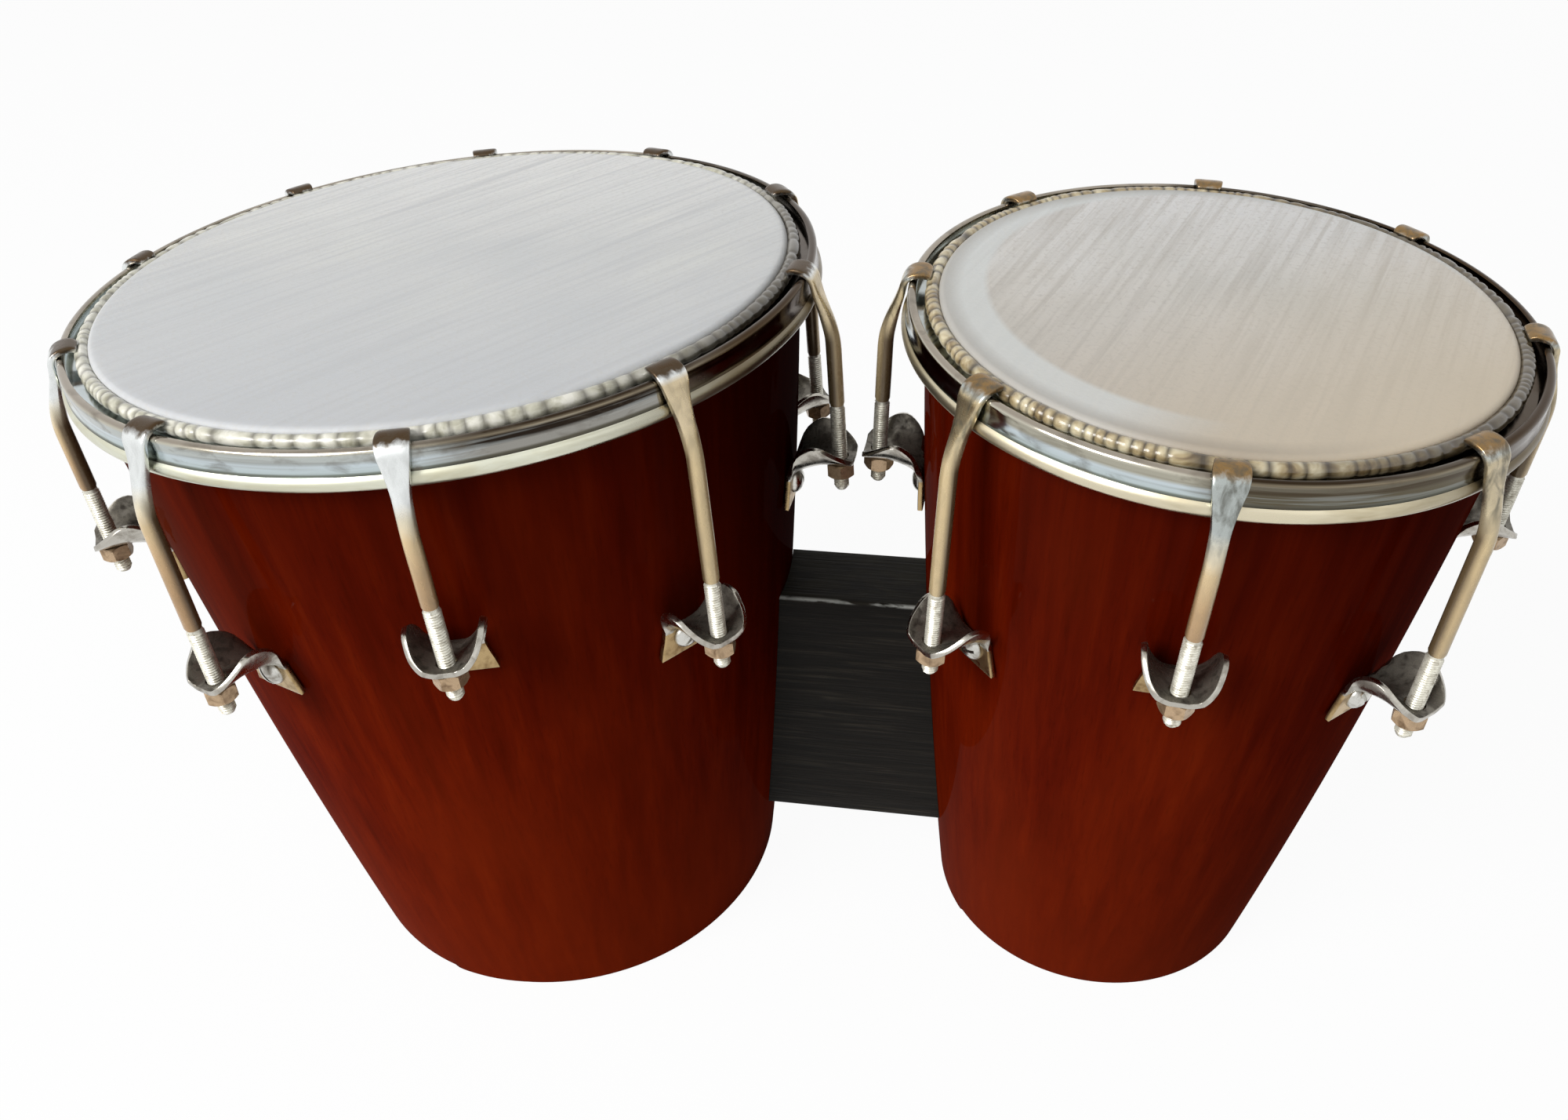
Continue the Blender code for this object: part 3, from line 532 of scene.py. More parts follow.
def painted_block():
    """Sawn softwood under two brushed coats of black: strokes run along it, thin on the top face."""
    material, add, local, (strokes, wear_and_highlight) = begin_finish(
        "brushed_black_paint",
        Matrix.Identity(4),
        ((34, 1.4, 1.4), 4.0, 0.62, 0.5),
        ((16, 5, 5), 4.0, 0.6, 0.6),
    )
    _, depth, height = add("SeparateXYZ", {"Vector": local}).node.outputs
    stops = ((0.36, "#100e0b"), (0.55, "#191612"), (0.74, "#2f2b24"))
    crown = BLOCK_TOP / MM
    face = -BLOCK_DEPTH / 2.0 / MM
    top = (height, crown - 1.2, crown - 0.4)
    # The paint is rubbed off along the front edge of the top, and the pale broken line along that edge is
    # also a painted highlight.
    layers = (
        ("#27241a", 0.8, (wear_and_highlight, 0.36, 0.64), top),
        ("#a9aba5", 1.0, (wear_and_highlight, 0.47, 0.56), top, (depth, face + 1.2, face + 0.3)),
    )
    finish = {
        "Base Color": overlaid(add, add("ValToRGB", {"Fac": strokes}, stops=stops), layers),
        "Roughness": 0.5,
        "Specular IOR Level": 0.08,
        "Normal": add("Bump", {"Height": strokes, "Distance": 0.35 * MM, "Strength": 0.8}),
    }
    return finished(material, finish)


LARGE, SMALL = DRUMS
CHROME_RIM = {
    "large": chromed_rim(LARGE, "#b6bbb8", "#2a231d", "#92908a", 0.26, 0.48, 0.84),
    "small": chromed_rim(SMALL, "#aaa798", "#4b4235", "#5d5646", -0.20, -0.02, 0.64),
}
LARGE_BEAD = ("#d9dac8", "#b0a784", 0.26, (30, 30, 5), 0.7, LARGE.frame, 1.0, (60.0, 98.0, "#5a4932"))
SMALL_BEAD = ("#d6cdb3", "#a09270", 0.26, (30, 30, 5), 0.7, SMALL.frame, 1.0, (30.0, 60.0, "#46371f"))
NICKEL_BEAD = {
    "large": polished_plate("pale_nickel_bead_large", *LARGE_BEAD),
    "small": polished_plate("pale_nickel_bead_small", *SMALL_BEAD),
}
CHROME_LUG = polished_plate("chromed_lug_sheet", "#b8b4ab", "#6d6457", 0.18, (4, 4, 4), 0.7)
GRIMY_TROUGH = polished_plate("grimy_lug_trough", "#7a756b", "#2b241d", 0.24, (2.4, 2.4, 2.4), 0.9, bare=0.6)
BRASSED_LEG = polished_plate("worn_lug_leg", "#b39a70", "#6e5333", 0.26, (5, 5, 5), 0.8)
ZINC_BOLT = polished_plate("zinc_plated_bolt", "#cfcec8", "#6f6557", 0.22, (3, 3, 3), 0.7)
ZINC_NUT = polished_plate("zinc_plated_nut", "#b89d7d", "#62492f", 0.26, (3, 3, 3), 0.8, bare=0.6)
CUT_THREAD = polished_plate("cut_thread", "#e3e0d2", "#8a806c", 0.26, (1.6, 1.6, 1.6), 0.8, bare=0.45)
HOOP_STEEL = polished_plate("bare_hoop_wire", "#8d8c8a", "#4d3b2c", 0.38, (6, 6, 6), 0.7)
MAHOGANY = {drum.name: lacquered_mahogany(drum) for drum in DRUMS}
RAW_WOOD = {drum.name: raw_mahogany(drum) for drum in DRUMS}
LARGE_HIDE = ((0.34, "#d2d3d2"), (0.52, "#d7d7d5"), (0.70, "#dcdcd8"))
SMALL_HIDE = ((0.34, "#d3d0c9"), (0.52, "#dad6cf"), (0.70, "#dedbd6"))
SKINS = {
    "large": cured_skin(LARGE, 2.2, LARGE_HIDE, "#c2c3c4", "#c6c4bf", 52.0, ("#c4c6c9", "#f0efec")),
    "small": cured_skin(SMALL, 2.6, SMALL_HIDE, "#b9b3aa", "#b5aea5", 70.0, ("#c2b6a7", "#e8e7e6")),
}
PLEATS = {
    "large": pleated_skin(LARGE, "#a5a18b", "#d0cdba", "#efecdf", 0.68, 0.62, 0.95),
    "small": pleated_skin(SMALL, "#7c6746", "#b5a27b", "#dfd3b2", 0.9, 0.0, 0.60),
}
HOOK_PLATE = {
    "large": hook_plate(LARGE, "#4d3c29", "#e3e6e5", 0.25, 0.45, 0.62),
    "small": hook_plate(SMALL, "#8d7048", "#adb3b0", 0.75, -0.35, -0.60),
}
BLACK_PAINT = painted_block()

# Modelling by hand.


def deselect():
    if bpy.context.object and bpy.context.object.mode != "OBJECT":
        bpy.ops.object.mode_set(mode="OBJECT")
    bpy.ops.object.select_all(action="DESELECT")


def take(piece):
    deselect()
    piece.select_set(True)
    bpy.context.view_layer.objects.active = piece


def settle(piece, matrix=None):
    """Put the piece's place, turn and scale into its mesh, in a drum's frame if one is given."""
    take(piece)
    if matrix is not None:
        piece.matrix_world = matrix @ piece.matrix_world
    bpy.ops.object.transform_apply(location=True, rotation=True, scale=True)


def smooth(piece, degrees=35.0):
    take(piece)
    bpy.ops.object.shade_smooth_by_angle(angle=math.radians(degrees))


def dress(piece, body, material, node):
    """Give a finished piece its body, slot, material and the node that it stands for."""
    if material:
        piece.data.materials.clear()
        piece.data.materials.append(material)
    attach(piece, body)
    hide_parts(node)


def paint_faces(piece, material, chosen):
    """Faces for which chosen(centre, normal) holds get a second material."""
    piece.data.materials.append(material)
    index = len(piece.data.materials) - 1
    for face in piece.data.polygons:
        if chosen(face.center, face.normal):
            face.material_index = index


def copied(piece, name, matrix=Matrix.Identity(4)):
    """A copy with its own mesh, laid in place."""
    copy = piece.copy()
    copy.data = piece.data.copy()
    copy.name = name
    scene.collection.objects.link(copy)
    copy.data.transform(matrix)
    return copy


def open_up(piece):
    """Edit a piece with all of it selected."""
    take(piece)
    bpy.ops.object.mode_set(mode="EDIT")
    bpy.ops.mesh.select_all(action="SELECT")


def pick_edges(piece, wanted):
    """Select the edited piece's edges for which wanted(edge) holds."""
    bpy.ops.mesh.select_all(action="DESELECT")
    bpy.ops.mesh.select_mode(type="EDGE")
    work = bmesh.from_edit_mesh(piece.data)
    for edge in work.edges:
        edge.select = wanted(edge)
    bmesh.update_edit_mesh(piece.data)


def close_up():
    """Turn the edited piece's faces outwards and leave it."""
    bpy.ops.mesh.select_all(action="SELECT")
    bpy.ops.mesh.normals_make_consistent(inside=False)
    bpy.ops.object.mode_set(mode="OBJECT")


def join(*pieces):
    """Make one piece of several, under the first one's name."""
    take(pieces[0])
    for piece in pieces:
        piece.select_set(True)
    bpy.ops.object.join()


def discard(*pieces):
    for piece in pieces:
        bpy.data.objects.remove(piece, do_unlink=True)


def turned(name, outline, steps, closed=False):
    """Draw an outline of (radius, height) from point to point and spin it about the axis."""
    deselect()
    bpy.ops.mesh.primitive_plane_add(size=1.0 * MM, location=(outline[0][0], 0.0, outline[0][1]))
    piece = bpy.context.object
    piece.name = name
    bpy.ops.object.mode_set(mode="EDIT")
    bpy.ops.mesh.select_mode(type="VERT")
    bpy.ops.mesh.select_all(action="SELECT")
    bpy.ops.mesh.merge(type="CENTER")
    ends = outline[1:] + outline[:1] if closed else outline[1:]
    for (radius, height), (from_radius, from_height) in zip(ends, outline):
        step = (radius - from_radius, 0.0, height - from_height)
        bpy.ops.mesh.extrude_region_move(TRANSFORM_OT_translate={"value": step})
    bpy.ops.mesh.select_all(action="SELECT")
    bpy.ops.mesh.spin(steps=steps, angle=math.tau, center=(0.0, 0.0, 0.0), axis=(0.0, 0.0, 1.0))
    bpy.ops.mesh.select_all(action="SELECT")
    bpy.ops.mesh.remove_doubles(threshold=0.004 * MM)
    close_up()
    settle(piece)
    return piece


def swept(name, rings):
    """Extrude a face through a row of rings of corners."""
    deselect()
    count = len(rings[0])
    bpy.ops.mesh.primitive_circle_add(vertices=count, radius=1.0, fill_type="NGON")
    piece = bpy.context.object
    piece.name = name
    for vertex, corner in zip(piece.data.vertices, rings[0]):
        vertex.co = corner
    bpy.ops.object.mode_set(mode="EDIT")
    bpy.ops.mesh.select_mode(type="FACE")
    bpy.ops.mesh.select_all(action="SELECT")
    for before, after in zip(rings, rings[1:]):
        bpy.ops.mesh.extrude_region_move()
        work = bmesh.from_edit_mesh(piece.data)
        for vertex in work.verts:
            if vertex.select:
                nearest = min(range(count), key=lambda i: (before[i] - vertex.co).length_squared)
                vertex.co = after[nearest]
        bmesh.update_edit_mesh(piece.data)
    close_up()
    return piece


def applied(piece, kind, **settings):
    """Add a modifier and apply it at once."""
    take(piece)
    modifier = piece.modifiers.new(kind.title(), kind)
    for key, value in settings.items():
        setattr(modifier, key, value)
    bpy.ops.object.modifier_apply(modifier=modifier.name)


def arc(center, height, radius, start, end, steps):
    """Outline points on a circle; 0 degrees is outwards and 90 degrees is up."""
    points = []
    for i in range(steps + 1):
        angle = math.radians(start + (end - start) * i / steps)
        points.append((center + radius * math.cos(angle), height + radius * math.sin(angle)))
    return points


def eased(rows, parts):
    """Rows of numbers with smooth rows added between them."""
    led = [rows[0], *rows, rows[-1]]
    result = []
    for before, start, end, after in zip(led, led[1:], led[2:], led[3:]):
        for part in range(parts):
            t = part / parts
            row = []
            for p0, p1, p2, p3 in zip(before, start, end, after):
                a = 2.0 * p1
                b = p2 - p0
                c = 2.0 * p0 - 5.0 * p1 + 4.0 * p2 - p3
                d = 3.0 * p1 - p0 - 3.0 * p2 + p3
                row.append(0.5 * (a + b * t + c * t * t + d * t * t * t))
            result.append(tuple(row))
    result.append(tuple(rows[-1]))
    return result


# Shell and skin.


def make_shell(drum):
    """A turned shell, cut level at the floor, with a rounded foot."""
    radius = drum.radius
    wall = drum.wall_outline(DRUM_HEIGHT + 10.0 * MM)
    neck = radius - NECK_INSET
    outline = [(radius - 5.0 * MM, -1.6 * MM), (radius - 4.0 * MM, -1.1 * MM)]
    outline += arc(neck - 1.4 * MM, -2.7 * MM, 1.4 * MM, 70.0, 0.0, 4)
    outline += [(neck, -12.2 * MM), (neck + 0.6 * MM, -13.0 * MM), (radius + 1.8 * MM, -14.4 * MM)]
    outline += [(wall[0][0] - 0.25 * MM, wall[0][1]), *wall[1:]]
    outline += [(reach - WALL, height) for reach, height in reversed(wall)]
    outline += [(radius - 6.6 * MM, -8.0 * MM), (radius - 6.4 * MM, -3.4 * MM)]
    piece = turned(drum.name + "_wooden_shell", outline, SHELL_STEPS, closed=True)
    settle(piece, drum.frame)

    def at_foot(edge):
        low = all(vertex.co.z < 0.01 * MM for vertex in edge.verts)
        return low and any(face.normal.z > -0.9 for face in edge.link_faces)

    open_up(piece)
    bpy.ops.mesh.bisect(plane_co=(0.0, 0.0, 0.0), plane_no=(0.0, 0.0, 1.0), clear_inner=True)
    pick_edges(piece, lambda edge: edge.is_boundary)
    bpy.ops.mesh.bridge_edge_loops()
    pick_edges(piece, at_foot)
    bpy.ops.mesh.bevel(offset=1.6 * MM, segments=4, affect="EDGES")
    close_up()
    smooth(piece)
    dress(piece, BASE, MAHOGANY[drum.name], drum.name + "_shell")
    back = drum.frame.inverted()

    def inside(center, normal):
        place = back @ center
        reach = math.hypot(place.x, place.y)
        return reach < drum.wall(-place.z) - 1.7 * MM and place.z < -3.0 * MM

    paint_faces(piece, RAW_WOOD[drum.name], inside)


def make_skin(drum):
    """The playing skin, drawn over the bearing edge and down beside the neck."""
    radius = drum.radius
    outline = [(0.0, 0.0)]
    outline += [(radius * share, 0.0) for share in (0.15, 0.35, 0.55, 0.75, 0.88)]
    outline += [(radius - 3.0 * MM, 0.0)]
    outline += arc(radius - 2.0 * MM, -1.8 * MM, 1.8 * MM, 84.0, 0.0, 7)
    outline += [(radius - 1.0 * MM, -7.0 * MM), (radius - 1.8 * MM, -7.0 * MM)]
    outline += [(radius - 1.8 * MM, -2.8 * MM), (radius - 2.4 * MM, -1.4 * MM)]
    outline += [(radius - 4.0 * MM, -SKIN), (0.0, -SKIN)]
    skin = turned(drum.name + "_playing_skin", outline, 160)
    settle(skin, drum.frame)
    smooth(skin, 50.0)
    dress(skin, drum.ring, SKINS[drum.name], drum.name + "_head")


def fold_share(drum, angle):
    """How far a place on the gathered edge lies in a fold: 0 on a pleat's crest, 1 between pleats."""
    wander = 0.9 * math.sin(3.0 * angle + 0.4) + 0.7 * math.sin(7.0 * angle + 1.9)
    wander += 0.35 * math.sin(17.0 * angle + 0.8) + 0.22 * math.sin(31.0 * angle)
    phase = (angle / math.tau * drum.pleats + wander) % 1.0
    return abs(2.0 * phase - 1.0) ** 2.4


def claw_press(drum, angle):
    """1 where a claw presses on the gathered edge, 0 a little beside it."""
    pitch = math.tau / drum.hooks
    aside = abs((angle - HOOK_PHASE + pitch / 2.0) % pitch - pitch / 2.0) * drum.radius
    share = min(1.0, max(0.0, (8.0 * MM - aside) / (2.2 * MM)))
    return share * share * (3.0 - 2.0 * share)


def make_gather(drum):
    """The skin's edge, rolled over the hoop, gathered in pleats and pressed flat by the claws."""
    steps = drum.pleats * 8
    center = drum.radius + GATHER_REACH
    outline = arc(center, -GATHER_DEPTH, GATHER_RADIUS, 200.0, -70.0, 14)
    outline += [(drum.radius + 0.9 * MM, -6.4 * MM), (drum.radius + 0.1 * MM, -6.4 * MM)]
    piece = turned(drum.name + "_gathered_skin_edge", outline, steps, closed=True)
    folds = piece.data.attributes.new("fold_depth", "FLOAT", "POINT")
    for vertex in piece.data.vertices:
        angle = math.atan2(vertex.co.y, vertex.co.x)
        reach = math.hypot(vertex.co.x, vertex.co.y) - center
        rise = vertex.co.z + GATHER_DEPTH
        if rise < -GATHER_RADIUS * 1.05:
            continue
        # Pleats lean, differ in size and depth, and are deepest on the outer side.
        slant = 0.35 * rise / GATHER_RADIUS / drum.pleats
        fold = fold_share(drum, angle + slant)
        size = 0.94 + 0.06 * math.sin(11.0 * angle + 0.7) * math.sin(5.0 * angle)
        wide = max(0.0, reach + 0.6 * GATHER_RADIUS) / GATHER_RADIUS
        depth = 0.17 + 0.07 * math.sin(angle * 2.0 + 1.2) + 0.04 * math.sin(angle * 23.0)
        scale = size - depth * fold * min(1.0, 0.30 + 0.70 * wide)
        reach *= scale
        rise *= scale
        # A claw holds the edge down.
        pressed = GATHER_DEPTH - 1.75 * MM + 0.36 * max(0.0, reach + GATHER_REACH - 1.2 * MM)
        press = claw_press(drum, angle) * min(1.0, max(0.0, (reach - 0.1 * MM) / (0.8 * MM)))
        rise = min(rise, GATHER_RADIUS * (1.0 - press) + pressed * press)
        vertex.co.x = (center + reach) * math.cos(angle)
        vertex.co.y = (center + reach) * math.sin(angle)
        vertex.co.z = rise - GATHER_DEPTH
        folds.data[vertex.index].value = min(1.0, fold)
    settle(piece, drum.frame)
    smooth(piece, 80.0)
    dress(piece, drum.ring, PLEATS[drum.name], drum.name + "_head")


# Rim and hooks.


def make_rim(drum):
    """Spun steel rim: rolled lip, band, round lower bead and the flange that presses on the hoop."""
    radius = drum.radius
    name = drum.name
    band = radius + RIM_REACH
    bore = radius + RIM_BORE
    lip = radius + RIM_LIP
    round_edge = 1.3 * MM
    outline = [(lip, -RIM_TOP_DEPTH - 0.9 * MM), (lip + 0.1 * MM, -RIM_TOP_DEPTH - 0.25 * MM)]
    outline += [(lip + 0.5 * MM, -RIM_TOP_DEPTH)]
    outline += arc(band - round_edge, -RIM_TOP_DEPTH - round_edge, round_edge, 90.0, 0.0, 6)
    outline += [(band, -5.2 * MM), (band, -BEAD_DEPTH + BEAD_RADIUS + 0.15 * MM)]
    outline += arc(bore, -BEAD_DEPTH, BEAD_RADIUS, 52.0, -215.0, 26)
    flange = radius + FLANGE_BORE
    under = -FLANGE_DEPTH - FLANGE_THICKNESS
    outline += [(bore, under), (flange, under), (flange, -FLANGE_DEPTH), (bore, -FLANGE_DEPTH)]
    outline += [(bore, -RIM_TOP_DEPTH - 2.4 * MM)]
    piece = turned(name + "_tension_rim", outline, 192, closed=True)
    piece.data.materials.append(CHROME_RIM[name])

    def on_bead(center, normal):
        reach = math.hypot(center.x, center.y) - bore
        return math.hypot(reach, center.z + BEAD_DEPTH) < BEAD_RADIUS + 0.12 * MM

    paint_faces(piece, NICKEL_BEAD[name], on_bead)
    settle(piece, drum.frame)
    smooth(piece, 40.0)
    dress(piece, drum.ring, None, name + "_rim_and_hooks")


# Path of a claw in millimetres: reach beyond the head's radius, depth, width and thickness, and squareness.
CLAW_ROWS = (
    (2.40, 0.85, 6.4, 0.90, 4.5),
    (2.65, 0.72, 7.0, 1.50, 5.5),
    (3.60, 0.25, 7.6, 1.80, 6.5),
    (4.90, 0.02, 8.1, 1.80, 6.5),
    (6.80, 0.32, 8.5, 1.80, 6.5),
    (8.50, 1.25, 8.5, 1.80, 6.5),
    (9.65, 3.00, 8.0, 1.90, 6.5),
    (10.10, 5.20, 7.1, 2.10, 6.0),
    (10.90, 8.60, 5.8, 2.50, 5.0),
    (12.00, 12.40, 4.8, 3.20, 3.6),
    (13.20, 16.80, 4.5, 4.00, 2.6),
    (14.00, 21.00, 4.5, 4.40, 2.1),
    (14.20, 25.00, 4.6, 4.60, 2.0),
)


def ring_of(center, across, width, height, square, corners=20):
    """Corners of a rounded bar's section; across is the direction of its height."""
    ring = []
    for i in range(corners):
        angle = math.tau * (i + 0.5) / corners
        across_and_up = (math.cos(angle), math.sin(angle))
        side, lift = (math.copysign(abs(share) ** (2.0 / square), share) for share in across_and_up)
        ring.append(center + Vector((0.0, side * width / 2.0, 0.0)) + across * (lift * height / 2.0))
    return ring


def make_hook():
    """A flat claw drawn down to a round rod, with a screw thread at its end."""
    rows = eased(CLAW_ROWS, 3)
    end = (SHORT_LUG_DEPTH + ROD_PAST_LUG) / MM
    start = end - THREAD_LENGTH / MM
    full = 2.0 * ROD_RADIUS / MM
    core = full - 0.55
    rod = ((30.0, full), (start - 0.8, full), (start, core), (end - 0.7, core), (end, core - 0.9))
    rows += [(ROD_REACH / MM, depth, size, size, 2.0) for depth, size in rod]
    centers = [Vector((row[0] * MM - ROD_REACH, 0.0, -row[1] * MM)) for row in rows]
    rings = []
    for i, row in enumerate(rows):
        along = (centers[min(i + 1, len(rows) - 1)] - centers[max(i - 1, 0)]).normalized()
        across = along.cross(Vector((0.0, 1.0, 0.0)))
        rings.append(ring_of(centers[i], across, row[2] * MM, row[3] * MM, row[4]))
    hook = swept("hook_pattern", rings)
    # The thread is one small tooth, screwed up the rod.
    deselect()
    bpy.ops.mesh.primitive_circle_add(
        vertices=4,
        radius=0.36 * MM,
        fill_type="NOTHING",
        location=(ROD_RADIUS - 0.32 * MM, 0.0, -end * MM + 0.9 * MM),
        rotation=(math.pi / 2.0, 0.0, 0.0),
    )
    tooth = bpy.context.object
    settle(tooth)
    applied(
        tooth,
        "SCREW",
        axis="Z",
        angle=math.tau,
        screw_offset=THREAD_PITCH,
        iterations=int((THREAD_LENGTH - 1.6 * MM) / THREAD_PITCH),
        steps=18,
        render_steps=18,
        use_smooth_shade=True,
    )
    open_up(tooth)
    bpy.ops.mesh.fill_holes(sides=0)
    close_up()
    join(hook, tooth)
    smooth(hook, 40.0)
    return hook


def hook_for(pattern, name, depth, matrix):
    """A copy of the hook whose rod reaches the lug at a depth."""
    hook = copied(pattern, name)
    for vertex in hook.data.vertices:
        if vertex.co.z < -EVEN_ROD_DEPTH:
            vertex.co.z -= depth - SHORT_LUG_DEPTH
    hook.data.transform(matrix)
    return hook


def make_nut(name, flats, height, bore):
    """A hexagon nut with turned-off corners; flats is half the size across them."""
    corner = flats / math.cos(math.pi / 6.0)
    lead = 0.35 * MM
    outline = [(bore, -lead), (bore + lead, 0.0), (flats * 0.96, 0.0), (corner, 0.0)]
    outline += [(corner, -height), (flats * 0.96, -height), (bore + lead, -height), (bore, -height + lead)]
    nut = turned(name, outline, 48, closed=True)
    for vertex in nut.data.vertices:
        reach = math.hypot(vertex.co.x, vertex.co.y)
        if reach < flats:
            continue
        # Six flats with turned-off corners.
        angle = math.atan2(vertex.co.y, vertex.co.x)
        share = (angle + math.pi / 6.0) % (math.pi / 3.0) - math.pi / 6.0
        side = flats / math.cos(share)
        drop = (side - flats) * math.tan(math.radians(30.0)) * 1.6
        vertex.co.x = side * math.cos(angle)
        vertex.co.y = side * math.sin(angle)
        vertex.co.z += -drop if vertex.co.z > -height / 2.0 else drop
    smooth(nut, 22.0)
    return nut


# Lugs.


def lug_rows(drum, depth):
    """Centre line of the folded sheet: reach from the rod, height and half width in millimetres, and fold."""

    def leg(height):
        drop = depth - height * MM
        off_wall = (0.2 * MM + LUG_SHEET / 2.0) / math.cos(drum.lean(drop))
        return (drum.wall(drop) - drum.radius - ROD_REACH + off_wall) / MM

    floor = -LUG_SHEET / 2.0 / MM
    start = -4.2
    root = leg(-5.5)
    run = start - root
    return [
        (leg(-15.5), -15.5, 9.0, 0.0),
        (leg(-12.0), -12.0, 8.3, 0.0),
        (leg(-8.5), -8.5, 7.4, 0.02),
        (root + 0.1, -5.6, 7.0, 0.25),
        (root + run * 0.22, floor - 3.1, 8.9, 1.25),
        (root + run * 0.60, floor - 1.2, 9.8, 1.22),
        (start, floor - 0.1, 9.8, 1.12),
        (-1.2, floor, 9.3, 1.05),
        (1.6, floor, 8.3, 1.0),
        (3.6, floor, 6.8, 1.0),
        (4.6, floor, 5.4, 1.0),
    ]


def make_lug(drum, depth):
    """A plate folded into a leg and a trough, pierced for the rod."""
    rows = eased(lug_rows(drum, depth), 3)
    last = len(rows) - 1
    deselect()
    bpy.ops.mesh.primitive_grid_add(x_subdivisions=last, y_subdivisions=20, size=2.0)
    plate = bpy.context.object
    plate.name = "lug_pattern"
    for vertex in plate.data.vertices:
        reach, height, half_width, fold = rows[round((vertex.co.x + 1.0) / 2.0 * last)]
        aside = vertex.co.y * half_width * MM
        past = max(abs(aside), TROUGH_FLAT)
        rise = math.sqrt(TROUGH_ROUND**2 - TROUGH_FLAT**2) - math.sqrt(TROUGH_ROUND**2 - past**2)
        vertex.co = (reach * MM, aside, height * MM + fold * rise)
    applied(plate, "SOLIDIFY", thickness=LUG_SHEET, offset=0.0, use_even_offset=False)
    applied(plate, "BEVEL", width=0.35 * MM, segments=2, limit_method="ANGLE", angle_limit=math.radians(50.0))
    deselect()
    bpy.ops.mesh.primitive_cylinder_add(vertices=32, radius=LUG_BORE, depth=24.0 * MM)
    drill = bpy.context.object
    applied(plate, "BOOLEAN", operation="DIFFERENCE", solver="EXACT", object=drill)
    discard(drill)
    open_up(plate)
    close_up()
    smooth(plate, 45.0)
    plate.data.materials.append(CHROME_LUG)
    paint_faces(plate, BRASSED_LEG, lambda center, normal: center.z < LEG_TOP)

    def in_trough(center, normal):
        inwards = Vector((0.0, -center.y, 9.0 * MM - center.z)).normalized()
        return center.z > LEG_TOP and normal.dot(inwards) > 0.75

    paint_faces(plate, GRIMY_TROUGH, in_trough)
    return plate


def make_lug_bolt():
    """Domed bolt through leg and shell, laid along X with the leg's outer face at 0."""
    dome = [(0.0, 2.7), (1.2, 2.62), (2.3, 2.32), (3.2, 1.82), (3.9, 1.1), (4.2, 0.35), (4.2, 0.0)]
    end = -WALL / MM - 7.2
    shank = [(2.2, 0.0), (2.2, -WALL / MM - 6.6), (1.8, end), (0.0, end)]
    bolt = turned("lug_bolt_pattern", [(r * MM, z * MM) for r, z in dome + shank], 40)
    deselect()
    size = (9.5 * MM, 1.0 * MM, 2.2 * MM)
    bpy.ops.mesh.primitive_cube_add(size=1.0, location=(0.0, 0.0, 2.9 * MM), scale=size)
    slot = bpy.context.object
    applied(bolt, "BOOLEAN", operation="DIFFERENCE", solver="EXACT", object=slot)
    discard(slot)
    washer = make_washer("lug_washer_pattern", radius=5.0 * MM, bore=2.5 * MM, thickness=0.8 * MM)
    washer.data.transform(lifted(-WALL - LUG_SHEET - 0.4 * MM))
    nut = make_nut("lug_nut_pattern", flats=4.0 * MM, height=3.4 * MM, bore=2.1 * MM)
    nut.data.transform(lifted(-WALL - LUG_SHEET - 1.3 * MM))
    join(bolt, washer, nut)
    bolt.data.transform(ALONG_X)
    smooth(bolt, 30.0)
    return bolt


def make_washer(name, radius, bore, thickness):
    """A flat washer below 0, with broken edges."""
    edge = 0.15 * MM
    outline = [(bore, 0.0), (radius - edge, 0.0), (radius, -edge), (radius, -thickness + edge)]
    outline += [(radius - edge, -thickness), (bore, -thickness)]
    washer = turned(name, outline, 48, closed=True)
    smooth(washer, 30.0)
    return washer


# Assembly.


def dress_drum(drum, hook_pattern, nut, lug_bolt):
    """All the pieces of one drum in their places."""
    name = drum.name
    make_shell(drum)
    make_skin(drum)
    make_gather(drum)
    make_rim(drum)
    depths = [drum.lug_depth(index) for index in range(drum.hooks)]
    lugs = {depth: make_lug(drum, depth) for depth in sorted(set(depths))}
    for index, depth in enumerate(depths):
        station = drum.station(index)
        level = station @ lifted(-depth)
        label = f"{index + 1:02d}"

        hook = hook_for(hook_pattern, f"{name}_hook_{label}", depth, station)
        dress(hook, drum.ring, HOOK_PLATE[name], name + "_rim_and_hooks")
        back = station.inverted()
        thread_top = -(depth + ROD_PAST_LUG - THREAD_LENGTH)
        paint_faces(hook, CUT_THREAD, lambda center, normal: (back @ center).z < thread_top)

        node = f"{name}_lug_{label}"
        plate = copied(lugs[depth], f"{name}_lug_plate_{label}", level)
        dress(plate, BASE, None, node)
        drop = depth + LUG_BOLT_DROP
        foot = Vector((drum.wall(drop) - drum.radius - ROD_REACH, 0.0, -LUG_BOLT_DROP))
        seat = Matrix.Translation(foot) @ Matrix.Rotation(drum.lean(drop), 4, "Y")
        seat = level @ seat @ Matrix.Translation((LUG_SHEET + 0.2 * MM, 0.0, 0.0))
        # Bolts and nuts are each left at a turn of their own.
        spin = Matrix.Rotation(math.radians(53.0 * index + 20.0), 4, "X")
        bolt = copied(lug_bolt, f"{name}_lug_bolt_{label}", seat @ spin)
        dress(bolt, BASE, ZINC_BOLT, node)

        seat = level @ lifted(-LUG_SHEET - 0.3 * MM)
        spin = Matrix.Rotation(math.radians(37.0 * index + 11.0), 4, "Z")
        turning_nut = copied(nut, f"{name}_hex_nut_{label}", seat @ spin)
        node = f"{name}_tuning_nut_{label}"
        dress(turning_nut, f"{name}_nut_{label}", ZINC_NUT, node)
    discard(*lugs.values())


